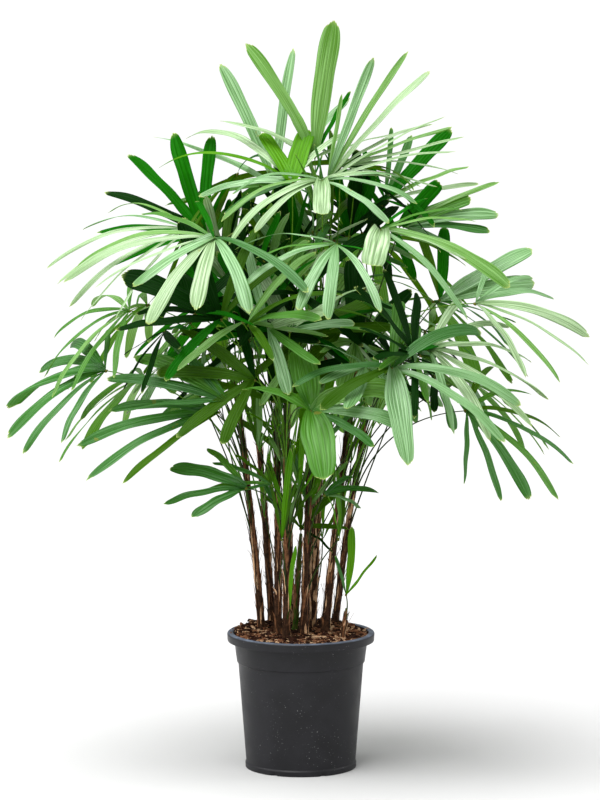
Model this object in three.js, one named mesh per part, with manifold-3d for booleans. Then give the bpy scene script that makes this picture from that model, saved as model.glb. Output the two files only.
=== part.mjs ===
// Lady palm (Rhapis excelsa) in a round nursery pot: a clump of canes, each bearing fan fronds.
// Millimetres, +Z up, origin at the middle of the pot's flat underside, the fullest side to -Y.

import * as THREE from 'three';
import { mergeVertices } from 'three/addons/utils/BufferGeometryUtils.js';
import Module from 'manifold-3d';

const wasm = await Module();
wasm.setup();

// Pot: outer radii from the underside up, and the heights of its step and rim band.
const POT_HEIGHT = 250;
const POT_BASE_RADIUS = 100;
const POT_BODY_RADIUS = 114.5;
const POT_COLLAR_RADIUS = 117;
const POT_NECK_RADIUS = 122;
const POT_RIM_RADIUS = 135;
const POT_STEP_HEIGHT = 195;
const POT_RIM_HEIGHT = 234;
const POT_WALL = 3;
const POT_FLOOR = 5;
const POT_SIDES = 40;

// Soil: a filled core with a level middle, on which the canes stand.
const SOIL_TOP = 246;
const SOIL_EDGE = 238;
const SOIL_LEVEL_RADIUS = 104;
const SOIL_SIDE_GAP = 0.36;

const LOOKS = {
  pot: { color: 0x2c2d31, roughness: 0.55, metalness: 0 },
  soil: { color: 0x6b4330, roughness: 0.95, metalness: 0 },
  cane: { color: 0x5c4030, roughness: 0.9, metalness: 0 },
  leaf: { color: 0x3f7a35, roughness: 0.45, metalness: 0 },
};

// Clearance between touching pieces, and between leaves that pass one another.
const SEAT_GAP = 0.3;
const LEAF_GAP = 0.5;
const GAP_SEARCH = 1;

// Stalks: they leave a cane along it and arch over to the hub. One that would touch another
// limb sways aside or leaves its cane lower down.
const STALK_SIDES = 3;
const STALK_STEPS = 4;
const STALK_RADII = [3.4, 2.1];
const STALK_RISE_SHARE = 0.5;
const STALK_REACH_SHARE = 0.12;
const STALK_SWAY = 14;
const STALK_DROP = 22;
const STALK_SWAYS = [0, 1, -1, 2, -2, 3, -3, 4, -4];
const STALK_DROPS = [0, 1, 2, 3, 4];
const STALK_TRIES = STALK_DROPS.flatMap((drop) => STALK_SWAYS.map((sway) => [sway, drop]));

// Hubs: the small disc, narrower above, where the stalk's end and the leaflets' roots meet.
const HUB_RADIUS = 11;
const HUB_THICKNESS = 5;
const HUB_TAPER = 0.8;
const HUB_SINK_SHARE = 0.3;
const HUB_SIDES = 6;

// Leaflets: where along them their sections are, how wide each is beside the widest, how far
// from the hub's middle they start, and how steeply they rise before they droop.
const LEAFLET_SHARES = [0, 0.29, 0.6, 0.92, 1];
const LEAFLET_WIDTHS = [0.08, 0.74, 1, 0.8, 0];
const LEAFLET_STEPS = LEAFLET_SHARES.length - 1;
const LEAFLET_ROOT = 6;
const LEAFLET_CUP = 0.2;
const LEAFLET_DROOP_POWER = 1.3;
const LEAFLET_THICKNESS_SHARE = 0.012;

// The outer leaflets of a fan are shorter and narrower, and each differs a little by chance.
const SIDE_SHORTENING = 0.22;
const SIDE_NARROWING = 0.3;
const ANGLE_CHANCE = 7;
const LENGTH_CHANCE = 0.12;
const WIDTH_CHANCE = 0.3;
const DROOP_CHANCE = 0.4;
const SEED_STEP = 1000003;

// A leaflet that would touch another leaf is turned or bent a little, or left out.
const LEAFLET_TURNS = [0, 4, -4, 8, -8, 12, -12];
const LEAFLET_BENDS = [0, 0.15, -0.15, 0.35, -0.35];
const LEAFLET_TRIES = LEAFLET_BENDS.flatMap((sag) => LEAFLET_TURNS.map((turn) => [turn, sag]));

// Canes: foot on the plan, top, and radius at the foot and at the top. A cane leaves the soil
// steeply, so halfway up it has made less than half of its lean, and its foot is flared.
const CANE_SIDES = 8;
const CANE_STEPS = 5;
const CANE_EARLY_LEAN = 0.38;
const CANE_FLARE = 1.35;
const CANE_FLARE_SHARE = 0.06;
const CANES = [
  { foot: [-71, 30], top: [-120, 40, 705], radii: [8, 5] },
  { foot: [-53, 90], top: [-96, 130, 785], radii: [8, 5] },
  { foot: [-41, 0], top: [-44, -12, 780], radii: [8.5, 5] },
  { foot: [-26, -50], top: [-28, -82, 645], radii: [8, 5] },
  { foot: [-11, 22], top: [0, 18, 428], radii: [6, 4.5] },
  { foot: [5, -14], top: [28, -22, 805], radii: [8.5, 5] },
  { foot: [21, 45], top: [54, 62, 835], radii: [8, 5] },
  { foot: [44, 18], top: [108, 16, 780], radii: [8.5, 5] },
  { foot: [63, 82], top: [122, 118, 640], radii: [7.5, 5] },
  { foot: [76, -50], top: [83, -52, 302], radii: [4.5, 3.5] },
  { foot: [-18, 92], top: [-32, 150, 810], radii: [8, 5] },
  { foot: [20, 96], top: [26, 162, 760], radii: [8, 5] },
];

// Rings of fans behind the clump: height of the hubs, how far out they are, the turns of the
// first and the last, the canes that bear them, the lift of their faces, and leaflet length.
const BACK_RINGS = [
  { level: 'top', height: 1085, reach: 120, turns: [35, 165], canes: [7, 11, 2], lift: 30, blade: 250 },
  { level: 'upper', height: 960, reach: 225, turns: [55, 130], canes: [7, 12, 11], lift: 42, blade: 240 },
  { level: 'middle', height: 840, reach: 300, turns: [35, 160], canes: [9, 12, 11, 2], lift: 46, blade: 230 },
  { level: 'low', height: 700, reach: 320, turns: [20, 155], canes: [9, 12, 2], lift: 50, blade: 220 },
];
const RING_STALK_RISE = 190;
const CANE_TOP_MARGIN = 15;

// Fans: name, cane, height where the stalk leaves it, hub, [turn, lift] of the way the upper
// face looks, [clock angle of the middle leaflet seen from that side, spread], and
// [leaflets, length, width, droop].
const FANS = [
  fan('top_centre', 6, 790, [25, 10, 1117], [-90, 10], [6, 134], [5, 246, 38, 0.3]),
  fan('far_left', 1, 520, [-350, -80, 739], [-140, 50], [-115, 150], [7, 235, 27, 0.6]),
  fan('right_reach', 8, 720, [313, -60, 858], [-50, 50], [105, 140], [7, 245, 26, 0.55]),
  fan('right_lower', 9, 480, [297, -60, 664], [-50, 45], [130, 170], [8, 228, 24, 0.7]),
  fan('left_front', 3, 765, [-153, -170, 984], [-112, 58], [-132, 205], [10, 318, 29, 0.85]),
  fan('top_right', 7, 820, [47, -30, 1077], [-90, 12], [45, 62], [6, 305, 24, 0.3]),
  fan('top_left', 3, 770, [-16, -40, 1075], [-100, 40], [-45, 150], [7, 290, 28, 1.0]),
  fan('top_front', 6, 760, [38, -80, 1080], [-85, 60], [175, 230], [9, 235, 30, 1.0]),
  fan('top_striped', 11, 800, [-47, 100, 1060], [-100, 20], [-30, 130], [5, 262, 27, 0.2]),
  fan('upper_left', 2, 770, [-175, 60, 972], [-110, 15], [-52, 95], [6, 232, 24, 0.35]),
  fan('centre_front', 6, 710, [63, -180, 974], [-90, 60], [-155, 170], [7, 235, 26, 0.9]),
  fan('right_front', 8, 775, [141, -150, 997], [-75, 55], [130, 170], [8, 270, 33, 0.8]),
  fan('upper_right', 7, 790, [153, 70, 1035], [-75, 20], [45, 130], [7, 215, 30, 0.25]),
  fan('outer_right', 8, 760, [180, 30, 992], [-70, 15], [68, 80], [6, 225, 25, 0.25]),
  fan('right_striped', 9, 625, [253, 40, 855], [-60, 20], [50, 110], [5, 235, 36, 0.15]),
  fan('right_middle', 8, 640, [228, -140, 783], [-60, 50], [115, 150], [7, 245, 28, 0.65]),
  fan('right_low_front', 8, 520, [160, -230, 760], [-80, 40], [125, 220], [7, 240, 40, 0.7]),
  fan('low_front', 4, 600, [18, -250, 687], [-90, 40], [70, 250], [6, 175, 48, 0.7]),
  fan('left_middle', 1, 690, [-308, -60, 845], [-145, 50], [-130, 180], [7, 225, 24, 0.9]),
  fan('left_folded', 1, 560, [-131, -190, 698], [-110, 40], [-70, 60], [4, 240, 30, 0.35]),
  fan('left_low', 1, 480, [-147, -130, 670], [-105, 40], [-108, 50], [4, 270, 25, 0.45]),
  fan('left_centre', 4, 630, [-82, -170, 732], [-100, 30], [-85, 130], [5, 185, 34, 0.4]),
  fan('left_inner', 1, 670, [-93, -100, 805], [-115, 25], [-20, 220], [8, 200, 31, 0.5]),
  fan('heart_upper', 3, 700, [-5, -110, 880], [-90, 30], [0, 260], [7, 200, 31, 0.5]),
  fan('heart_right', 7, 640, [95, -70, 760], [-70, 25], [10, 220], [7, 200, 33, 0.4]),
  fan('centre_inner', 3, 640, [-60, -60, 795], [-90, 20], [0, 180], [7, 200, 33, 0.3]),
  fan('centre_low', 3, 540, [-49, -90, 685], [-90, 20], [10, 160], [7, 180, 34, 0.2]),
  fan('low_left', 4, 450, [-98, -140, 535], [-100, 45], [-85, 90], [4, 155, 24, 0.4]),
  fan('low_left_inner', 4, 440, [-52, -110, 536], [-100, 35], [-75, 60], [4, 130, 17, 0.3]),
  fan('low_right', 6, 400, [43, -90, 515], [-80, 45], [75, 60], [3, 120, 17, 0.9]),
  fan('sucker_upright', 4, 330, [-34, -94, 434], [-90, 5], [-3, 24], [3, 178, 11, 0.05]),
  fan('sucker_top', 5, 400, [0, 0, 440], [-90, 30], [20, 200], [6, 95, 15, 0.5]),
  fan('young_right', 10, 285, [82, -50, 326], [-85, 10], [14, 50], [3, 125, 17, 0.1]),
  ...backFans(),
];

// Fans behind the clump, evenly over an arc of each ring: they face outward and hang outward.
function backFans() {
  const fanned = [180, 230];
  const leaflets = 8;
  const width = 28;
  const droop = 0.7;
  return BACK_RINGS.flatMap((ring) => ring.canes.map((cane, place) => {
    const turn = THREE.MathUtils.lerp(...ring.turns, place / (ring.canes.length - 1));
    const hub = [...polar(turn, ring.reach), ring.height];
    const seat = Math.min(ring.height - RING_STALK_RISE, CANES[cane - 1].top[2] - CANE_TOP_MARGIN);
    const name = `back_${ring.level}_${place + 1}`;
    const blades = [leaflets, ring.blade, width, droop];
    return fan(name, cane, seat, hub, [turn, ring.lift], fanned, blades);
  }));
}

function fan(name, cane, seat, hub, face, fanned, blades) {
  const [clock, spread] = fanned;
  const [leaflets, length, width, droop] = blades;
  return { name, cane, seat, hub, face, clock, spread, leaflets, length, width, droop };
}

function radians(degrees) {
  return (degrees * Math.PI) / 180;
}

function polar(turn, radius) {
  return [radius * Math.cos(radians(turn)), radius * Math.sin(radians(turn))];
}

// Lehmer generator: the same numbers for the same seed.
function lehmer(seed) {
  let state = seed;
  return () => {
    state = (state * 16807) % 2147483647;
    return state / 2147483647;
  };
}

function toSolid(geometry) {
  geometry.deleteAttribute('normal');
  geometry.deleteAttribute('uv');
  const merged = mergeVertices(geometry, 1e-4);
  const vertProperties = Float32Array.from(merged.getAttribute('position').array);
  const triVerts = Uint32Array.from(merged.index.array);
  return new wasm.Manifold(new wasm.Mesh({ numProp: 3, vertProperties, triVerts }));
}

function toGeometry(solid) {
  const mesh = solid.getMesh();
  const geometry = new THREE.BufferGeometry();
  geometry.setAttribute('position', new THREE.BufferAttribute(mesh.vertProperties, 3));
  geometry.setIndex(new THREE.BufferAttribute(mesh.triVerts, 1));
  geometry.computeVertexNormals();
  return geometry;
}

// Bends an upright cylinder or cone of radius 1 and height 1 along the stations of a limb.
function bend(upright, stationAt) {
  const position = upright.getAttribute('position');
  const point = new THREE.Vector3();
  for (let i = 0; i < position.count; i += 1) {
    const { centre, side, under } = stationAt(position.getY(i) + 0.5);
    point.copy(centre);
    point.addScaledVector(side, position.getX(i));
    point.addScaledVector(under, position.getZ(i));
    position.setXYZ(i, point.x, point.y, point.z);
  }
  return upright;
}

// Pot: one shell with a stepped collar and a turned-down rim.
function potGeometry() {
  const inside = POT_NECK_RADIUS - POT_WALL;
  const lip = POT_RIM_RADIUS - POT_WALL;
  const outline = [
    [0, 0],
    [POT_BASE_RADIUS, 0],
    [POT_BODY_RADIUS, POT_STEP_HEIGHT],
    [POT_COLLAR_RADIUS, POT_STEP_HEIGHT],
    [POT_NECK_RADIUS, POT_HEIGHT - 2 * POT_WALL],
    [lip, POT_HEIGHT - 2 * POT_WALL],
    [lip, POT_RIM_HEIGHT],
    [POT_RIM_RADIUS, POT_RIM_HEIGHT],
    [POT_RIM_RADIUS, POT_HEIGHT - POT_WALL],
    [lip, POT_HEIGHT],
    [inside + POT_WALL, POT_HEIGHT],
    [inside, POT_HEIGHT - POT_WALL],
    [POT_BODY_RADIUS - POT_WALL, POT_STEP_HEIGHT],
    [POT_BASE_RADIUS - POT_WALL, POT_FLOOR],
    [0, POT_FLOOR],
  ];
  return latheUp(outline, POT_SIDES);
}

function soilGeometry() {
  const bottom = POT_FLOOR + SEAT_GAP;
  const clear = POT_WALL + SOIL_SIDE_GAP;
  const neckShare = (SOIL_EDGE - POT_STEP_HEIGHT) / (POT_HEIGHT - POT_WALL - POT_STEP_HEIGHT);
  const outline = [
    [0, bottom],
    [POT_BASE_RADIUS - clear, bottom],
    [POT_BODY_RADIUS - clear, POT_STEP_HEIGHT],
    [THREE.MathUtils.lerp(POT_BODY_RADIUS, POT_NECK_RADIUS, neckShare) - clear, SOIL_EDGE],
    [SOIL_LEVEL_RADIUS, SOIL_TOP],
    [0, SOIL_TOP],
  ];
  return latheUp(outline, POT_SIDES);
}

// Turns an outline of [radius, height] pairs about the upright axis.
function latheUp(outline, sides) {
  const points = outline.map(([radius, height]) => new THREE.Vector2(radius, height));
  const geometry = new THREE.LatheGeometry(points, sides);
  geometry.rotateX(Math.PI / 2);
  return geometry;
}

// Middle line of a cane: upright where it leaves the soil, then leaning out.
function caneCurve(cane) {
  const foot = new THREE.Vector3(cane.foot[0], cane.foot[1], SOIL_TOP + SEAT_GAP);
  const top = new THREE.Vector3(...cane.top);
  const middle = foot.clone().lerp(top, CANE_EARLY_LEAN);
  middle.z = (foot.z + top.z) / 2;
  return new THREE.QuadraticBezierCurve3(foot, middle, top);
}

function caneRadius(cane, along) {
  const [thick, thin] = cane.radii;
  const flare = Math.max(0, 1 - along / CANE_FLARE_SHARE) * (CANE_FLARE - 1);
  return THREE.MathUtils.lerp(thick, thin, along) * (1 + flare);
}

// Sections of a cane stay level, so its foot is cut flat at the soil.
function caneGeometry(cane, swell) {
  const curve = caneCurve(cane);
  const upright = new THREE.CylinderGeometry(1, 1, 1, CANE_SIDES, CANE_STEPS);
  return bend(upright, (along) => {
    const radius = caneRadius(cane, along) + swell;
    const side = new THREE.Vector3(radius, 0, 0);
    const under = new THREE.Vector3(0, -radius, 0);
    return { centre: curve.getPoint(along), side, under };
  });
}

// Share of a cane's curve at which it reaches a height: its height rises evenly along it.
function shareAtHeight(curve, height) {
  return (height - curve.v0.z) / (curve.v2.z - curve.v0.z);
}

// Middle line of a fan's stalk, from the middle of its cane to its hub.
function stalkCurve(entry, [sway, drop]) {
  const curve = caneCurve(CANES[entry.cane - 1]);
  const share = shareAtHeight(curve, entry.seat - drop * STALK_DROP);
  const seat = curve.getPoint(share);
  const hub = new THREE.Vector3(...entry.hub);
  const rise = curve.getTangent(share);
  const reach = seat.distanceTo(hub);
  const out = new THREE.Vector3(hub.x - seat.x, hub.y - seat.y, 0).normalize();
  const across = new THREE.Vector3(-out.y, out.x, 0);
  const knee = seat.clone().addScaledVector(rise, reach * STALK_RISE_SHARE);
  knee.addScaledVector(out, reach * STALK_REACH_SHARE);
  knee.addScaledVector(across, sway * STALK_SWAY);
  return new THREE.QuadraticBezierCurve3(seat, knee, hub);
}

function stalkGeometry(curve) {
  const bow = curve.v1.clone().sub(curve.v0);
  const binormal = bow.cross(curve.v2.clone().sub(curve.v1)).normalize();
  const upright = new THREE.CylinderGeometry(1, 1, 1, STALK_SIDES, STALK_STEPS);
  return bend(upright, (along) => {
    const radius = THREE.MathUtils.lerp(...STALK_RADII, along);
    const side = binormal.clone().multiplyScalar(radius);
    const under = side.clone().cross(curve.getTangent(along));
    return { centre: curve.getPoint(along), side, under };
  });
}

// Axes of a fan's plane: its upper face, the way uphill in the plane, and the way to its right.
function fanAxes(entry) {
  const turn = radians(entry.face[0]);
  const lift = radians(entry.face[1]);
  const level = Math.cos(lift);
  const face = new THREE.Vector3(level * Math.cos(turn), level * Math.sin(turn), Math.sin(lift));
  const up = new THREE.Vector3(-face.z * Math.cos(turn), -face.z * Math.sin(turn), level);
  const right = up.clone().cross(face);
  return { face, up, right };
}

// Leaflets of a fan by one rule: even clock angles, with a little chance in each.
function leafletPlans(entry, number) {
  const random = lehmer(SEED_STEP * (number + 1));
  const chance = (range) => (random() - 0.5) * range;
  const plans = [];
  for (let i = 0; i < entry.leaflets; i += 1) {
    const place = (2 * i) / (entry.leaflets - 1) - 1;
    const side = 1 - SIDE_SHORTENING * place ** 2;
    const slim = 1 - SIDE_NARROWING * place ** 2;
    plans.push({
      clock: entry.clock + (place * entry.spread) / 2 + chance(ANGLE_CHANCE),
      length: entry.length * side * (1 + chance(LENGTH_CHANCE)),
      width: entry.width * slim * (1 + chance(WIDTH_CHANCE)),
      droop: entry.droop * (1 + chance(DROOP_CHANCE)),
    });
  }
  return plans;
}

// Middle line and cross-sections of a leaflet, turned and bent a little where it needs room.
function leafletStations(entry, plan, [turnMore, sag]) {
  const axes = fanAxes(entry);
  const clock = radians(plan.clock + turnMore);
  const droop = plan.droop + sag;
  const outward = axes.up.clone().multiplyScalar(Math.cos(clock));
  outward.addScaledVector(axes.right, Math.sin(clock));
  const centre = new THREE.Vector3(...entry.hub).addScaledVector(outward, LEAFLET_ROOT);
  const depth = plan.length * LEAFLET_THICKNESS_SHARE;
  const stations = [];
  for (let i = 0; i <= LEAFLET_STEPS; i += 1) {
    const share = LEAFLET_SHARES[i];
    const last = LEAFLET_SHARES[Math.max(i - 1, 0)];
    const heading = leafletHeading(outward, axes.face, droop, (share + last) / 2);
    centre.addScaledVector(heading, (share - last) * (plan.length - LEAFLET_ROOT));
    const half = (LEAFLET_WIDTHS[i] * plan.width) / 2;
    const side = axes.face.clone().cross(heading).normalize();
    const under = heading.clone().cross(side).negate();
    stations.push({ centre: centre.clone(), side, under, half, depth });
  }
  return stations;
}

// Heading of a leaflet at a share of its length: it rises from the fan's plane, then droops.
function leafletHeading(outward, face, droop, share) {
  const heading = outward.clone().addScaledVector(face, LEAFLET_CUP * (1 - share));
  heading.z -= droop * share ** LEAFLET_DROOP_POWER;
  return heading.normalize();
}

// A three-sided blade, flat above with its keel below, bent from a cone of three sides whose
// even taper is undone. The cone's section is a triangle of height 1.5, its flat side at -0.5.
function leafletGeometry(stations) {
  const sectionHeight = 1.5;
  const sectionHalfWidth = Math.sqrt(3) / 2;
  const upright = new THREE.ConeGeometry(1, 1, 3, LEAFLET_STEPS);
  return bend(upright, (along) => {
    const { centre, side, under, half, depth } = stations[Math.round(along * LEAFLET_STEPS)];
    const taper = Math.max(1 - along, Number.EPSILON);
    const keel = under.clone().multiplyScalar(depth / sectionHeight);
    return {
      centre: centre.clone().addScaledVector(keel, 0.5),
      side: side.clone().multiplyScalar(half / sectionHalfWidth / taper),
      under: keel.divideScalar(taper),
    };
  });
}

// The hub's disc lies in the fan's plane, sunk so that the leaflets leave it through its side.
function hubGeometry(entry) {
  const { face, up, right } = fanAxes(entry);
  const upright = new THREE.CylinderGeometry(HUB_TAPER, 1, 1, HUB_SIDES);
  const hub = new THREE.Vector3(...entry.hub);
  return bend(upright, (along) => ({
    centre: hub.clone().addScaledVector(face, (along - 0.5 - HUB_SINK_SHARE) * HUB_THICKNESS),
    side: right.clone().multiplyScalar(HUB_RADIUS),
    under: up.clone().multiplyScalar(-HUB_RADIUS),
  }));
}

// A solid with its box, to be kept clear of by what is built after it.
function occupied(solid, owner) {
  const box = solid.boundingBox();
  return { solid, owner, min: box.min, max: box.max };
}

function boxesMeet(a, b) {
  for (let axis = 0; axis < 3; axis += 1) {
    if (a.min[axis] > b.max[axis] + GAP_SEARCH || b.min[axis] > a.max[axis] + GAP_SEARCH) return false;
  }
  return true;
}

function isClear(candidate, taken, gap) {
  return !taken.some((other) => other.owner !== candidate.owner
    && boxesMeet(candidate, other) && candidate.solid.minGap(other.solid, GAP_SEARCH) < gap);
}

function largestPiece(solid) {
  return solid.decompose().reduce((best, piece) => (piece.volume() > best.volume() ? piece : best));
}

// Stalk and hub of a fan, with the stalk cut clear of the cane that bears it.
function frondLimbs(entry, taken) {
  const owner = entry.name;
  const hub = occupied(toSolid(hubGeometry(entry)), owner);
  if (!isClear(hub, taken, LEAF_GAP)) throw new Error(`the hub of ${owner} touches a limb`);
  const swollenCane = toSolid(caneGeometry(CANES[entry.cane - 1], SEAT_GAP));
  const bearer = caneName(entry.cane - 1);
  const others = taken.filter((other) => other.owner !== bearer);
  for (const nudge of STALK_TRIES) {
    const whole = toSolid(stalkGeometry(stalkCurve(entry, nudge)));
    const stalk = occupied(largestPiece(whole.subtract(swollenCane)), owner);
    if (isClear(stalk, others, LEAF_GAP)) return [stalk, hub];
  }
  throw new Error(`no room for the stalk of ${owner}`);
}

// Leaflets of a fan that keep clear of everything else.
function frondLeaflets(entry, number, taken) {
  const owner = entry.name;
  const leaflets = [];
  for (const plan of leafletPlans(entry, number)) {
    for (const nudge of LEAFLET_TRIES) {
      const leaflet = toSolid(leafletGeometry(leafletStations(entry, plan, nudge)));
      const candidate = occupied(leaflet, owner);
      if (isClear(candidate, taken, LEAF_GAP)) {
        leaflets.push(candidate);
        break;
      }
    }
  }
  return leaflets;
}

function caneName(index) {
  return `cane_${String(index + 1).padStart(2, '0')}`;
}

function namedMesh(name, geometry, look) {
  const mesh = new THREE.Mesh(geometry, new THREE.MeshStandardMaterial(LOOKS[look]));
  mesh.name = name;
  return mesh;
}

// Pot, soil and canes first, then every stalk, then the leaflets, frond by frond.
function buildPlant() {
  const plant = new THREE.Group();
  const taken = [];
  const keepWhole = (name, geometry, look) => {
    const solid = toSolid(geometry);
    taken.push(occupied(solid, name));
    plant.add(namedMesh(name, toGeometry(solid), look));
  };
  keepWhole('pot', potGeometry(), 'pot');
  keepWhole('soil', soilGeometry(), 'soil');
  CANES.forEach((cane, index) => keepWhole(caneName(index), caneGeometry(cane, 0), 'cane'));
  const fronds = FANS.map((entry) => {
    const limbs = frondLimbs(entry, taken);
    taken.push(...limbs);
    return limbs;
  });
  FANS.forEach((entry, number) => {
    const leaflets = frondLeaflets(entry, number, taken);
    taken.push(...leaflets);
    const solids = [...fronds[number], ...leaflets].map((piece) => piece.solid);
    const whole = largestPiece(solids.reduce((sum, solid) => sum.add(solid)));
    plant.add(namedMesh(`frond_${entry.name}`, toGeometry(whole), 'leaf'));
  });
  return plant;
}

export default buildPlant();
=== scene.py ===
"""Lady palm (Rhapis excelsa) in a nursery pot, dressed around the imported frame.

Metres and degrees, +Z up, the frame's own axes. Each frond of the frame is a stalk, a hub and a
few plain blades. The rule that made them is written again here. Each blade is looked up in the
frame, and a finer pleated leaflet grows in its place, so the crown keeps its outline and gaps.
"""

from collections import namedtuple
from math import acos, cos, dist, hypot, pi, radians, sin, sqrt, tan

import bpy
import numpy as np
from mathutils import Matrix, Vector, noise
from mathutils.bvhtree import BVHTree
from mathutils.kdtree import KDTree


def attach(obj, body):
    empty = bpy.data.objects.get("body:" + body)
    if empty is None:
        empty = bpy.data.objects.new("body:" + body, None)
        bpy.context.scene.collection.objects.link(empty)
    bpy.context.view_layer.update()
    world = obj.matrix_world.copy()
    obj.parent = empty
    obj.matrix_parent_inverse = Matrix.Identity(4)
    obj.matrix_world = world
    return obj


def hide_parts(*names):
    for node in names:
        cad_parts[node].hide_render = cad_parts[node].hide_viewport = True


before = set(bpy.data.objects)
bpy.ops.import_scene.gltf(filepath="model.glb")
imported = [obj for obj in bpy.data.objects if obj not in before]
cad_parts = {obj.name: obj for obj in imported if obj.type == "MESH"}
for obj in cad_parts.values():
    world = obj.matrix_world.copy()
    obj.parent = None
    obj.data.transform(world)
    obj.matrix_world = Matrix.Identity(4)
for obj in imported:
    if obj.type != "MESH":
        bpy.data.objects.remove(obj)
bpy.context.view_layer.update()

# Pot and soil.
BASE_RADIUS = 0.1
BODY_RADIUS = 0.1145
COLLAR_RADIUS = 0.117
NECK_RADIUS = 0.122
RIM_RADIUS = 0.135
MOUTH_RADIUS = 0.1235
STEP_HEIGHT = 0.195
RIM_HEIGHT = 0.234
POT_HEIGHT = 0.25
POT_WALL = 0.003
POT_FLOOR = 0.005
SOIL_TOP = 0.246
LEVEL_RADIUS = 0.104

# Stalks: they leave a cane along it and arch over to the hub.
SEAT_GAP = 0.0003
STALK_RADII = (0.0034, 0.0021)
STALK_RISE = 0.5
STALK_REACH = 0.12
STALK_SWAY = 0.014
STALK_DROP = 0.022

# Leaflets: where along them the frame has its sections, and how wide each is.
SECTIONS = np.array([0, 0.29, 0.6, 0.92, 1])
SECTION_WIDTHS = np.array([0.08, 0.74, 1, 0.8, 0])
LEAFLET_ROOT = 0.006
LEAFLET_CUP = 0.2
DROOP_POWER = 1.3
THICKNESS_SHARE = 0.012

# The outer leaflets of a fan are shorter and narrower, and each differs a little by chance.
SIDE_SHORTENING = 0.22
SIDE_NARROWING = 0.3
ANGLE_CHANCE = 7
LENGTH_CHANCE = 0.12
WIDTH_CHANCE = 0.3
DROOP_CHANCE = 0.4
# Seeds of the random draws, each a step between one fan or cane and the next.
SEEDS = {"leaflets": 1000003, "skirt": 70001, "inner": 60013, "shoot": 90001, "frond": 7919,
         "inner_leaves": 15485863, "cut_stalk": 50021, "cane": 104729, "mulch": 31337}
INNER_NUMBERS_FROM = 1000

# What the frame's rule tries where a frond would touch another: a stalk's sway and drop, a
# leaflet's turn and bend.
STALK_TRIES = [(sway, drop) for drop in range(5) for sway in (0, 1, -1, 2, -2, 3, -3, 4, -4)]
LEAFLET_TRIES = [(turn, bend) for bend in (0, 0.15, -0.15, 0.35, -0.35)
                 for turn in (0, 4, -4, 8, -8, 12, -12)]

# A try is the frame's where enough of its points lie this near to vertices of the frame.
MATCH_DISTANCE = 0.0004
STALK_PROBES = np.array([0.5, 0.75])
LEAST_OF_STALK = 0.3
LEAST_OF_LEAFLET = 0.4

# Canes by number: the foot on the plan, the top, and the radii at both. They lean early and are
# flared at the foot.
EARLY_LEAN = 0.38
CANE_FLARE = 1.35
FLARE_SHARE = 0.06
TOP_MARGIN = 0.015
TALL_FROM = 0.6
Cane = namedtuple("Cane", "foot top radii", defaults=[(0.008, 0.005)])
CANES = dict(enumerate([
    Cane((-0.071, 0.03), (-0.12, 0.04, 0.705)),
    Cane((-0.053, 0.09), (-0.096, 0.13, 0.785)),
    Cane((-0.041, 0), (-0.044, -0.012, 0.78), (0.0085, 0.005)),
    Cane((-0.026, -0.05), (-0.028, -0.082, 0.645)),
    Cane((-0.011, 0.022), (0, 0.018, 0.428), (0.006, 0.0045)),
    Cane((0.005, -0.014), (0.028, -0.022, 0.805), (0.0085, 0.005)),
    Cane((0.021, 0.045), (0.054, 0.062, 0.835)),
    Cane((0.044, 0.018), (0.108, 0.016, 0.78), (0.0085, 0.005)),
    Cane((0.063, 0.082), (0.122, 0.118, 0.64), (0.0075, 0.005)),
    Cane((0.076, -0.05), (0.083, -0.052, 0.302), (0.0045, 0.0035)),
    Cane((-0.018, 0.092), (-0.032, 0.15, 0.81)),
    Cane((0.02, 0.096), (0.026, 0.162, 0.76)),
], 1))
TALL_CANES = [number for number, cane in CANES.items() if cane.top[2] > TALL_FROM]

# A fan: the cane that bears it, the height where its stalk leaves the cane, its hub, the turn and
# lift of its upper face, its middle clock angle and spread, what its leaflets are like, and their
# tone, as light falls on them.
Fan = namedtuple("Fan", "name cane seat hub face clock spread leaflets length width droop tone",
                 defaults=[None])

# Rings of fans behind the clump: height of the hubs, how far out they are, the turns of the
# first and the last, the canes that bear them, the lift of their faces, and leaflet length.
BACK_RINGS = [
    ("top", 1.085, 0.12, (35, 165), (7, 11, 2), 30, 0.25),
    ("upper", 0.96, 0.225, (55, 130), (7, 12, 11), 42, 0.24),
    ("middle", 0.84, 0.3, (35, 160), (9, 12, 11, 2), 46, 0.23),
    ("low", 0.7, 0.32, (20, 155), (9, 12, 2), 50, 0.22),
]
RING_STALK_RISE = 0.19


def polar(reach, turn, height):
    """A point by how far out it is from the axis, which way, and how high."""
    return np.array([reach * cos(radians(turn)), reach * sin(radians(turn)), height])


def below_top(cane, height):
    return min(height, CANES[cane].top[2] - TOP_MARGIN)


def back_fans():
    for level, height, reach, turns, canes, lift, length in BACK_RINGS:
        for place, cane in enumerate(canes):
            turn = turns[0] + (turns[1] - turns[0]) * place / (len(canes) - 1)
            seat = below_top(cane, height - RING_STALK_RISE)
            yield Fan(f"back_{level}_{place + 1}", cane, seat, polar(reach, turn, height), (turn, lift),
                      clock=180, spread=230, leaflets=8, length=length, width=0.028, droop=0.7)


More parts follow.
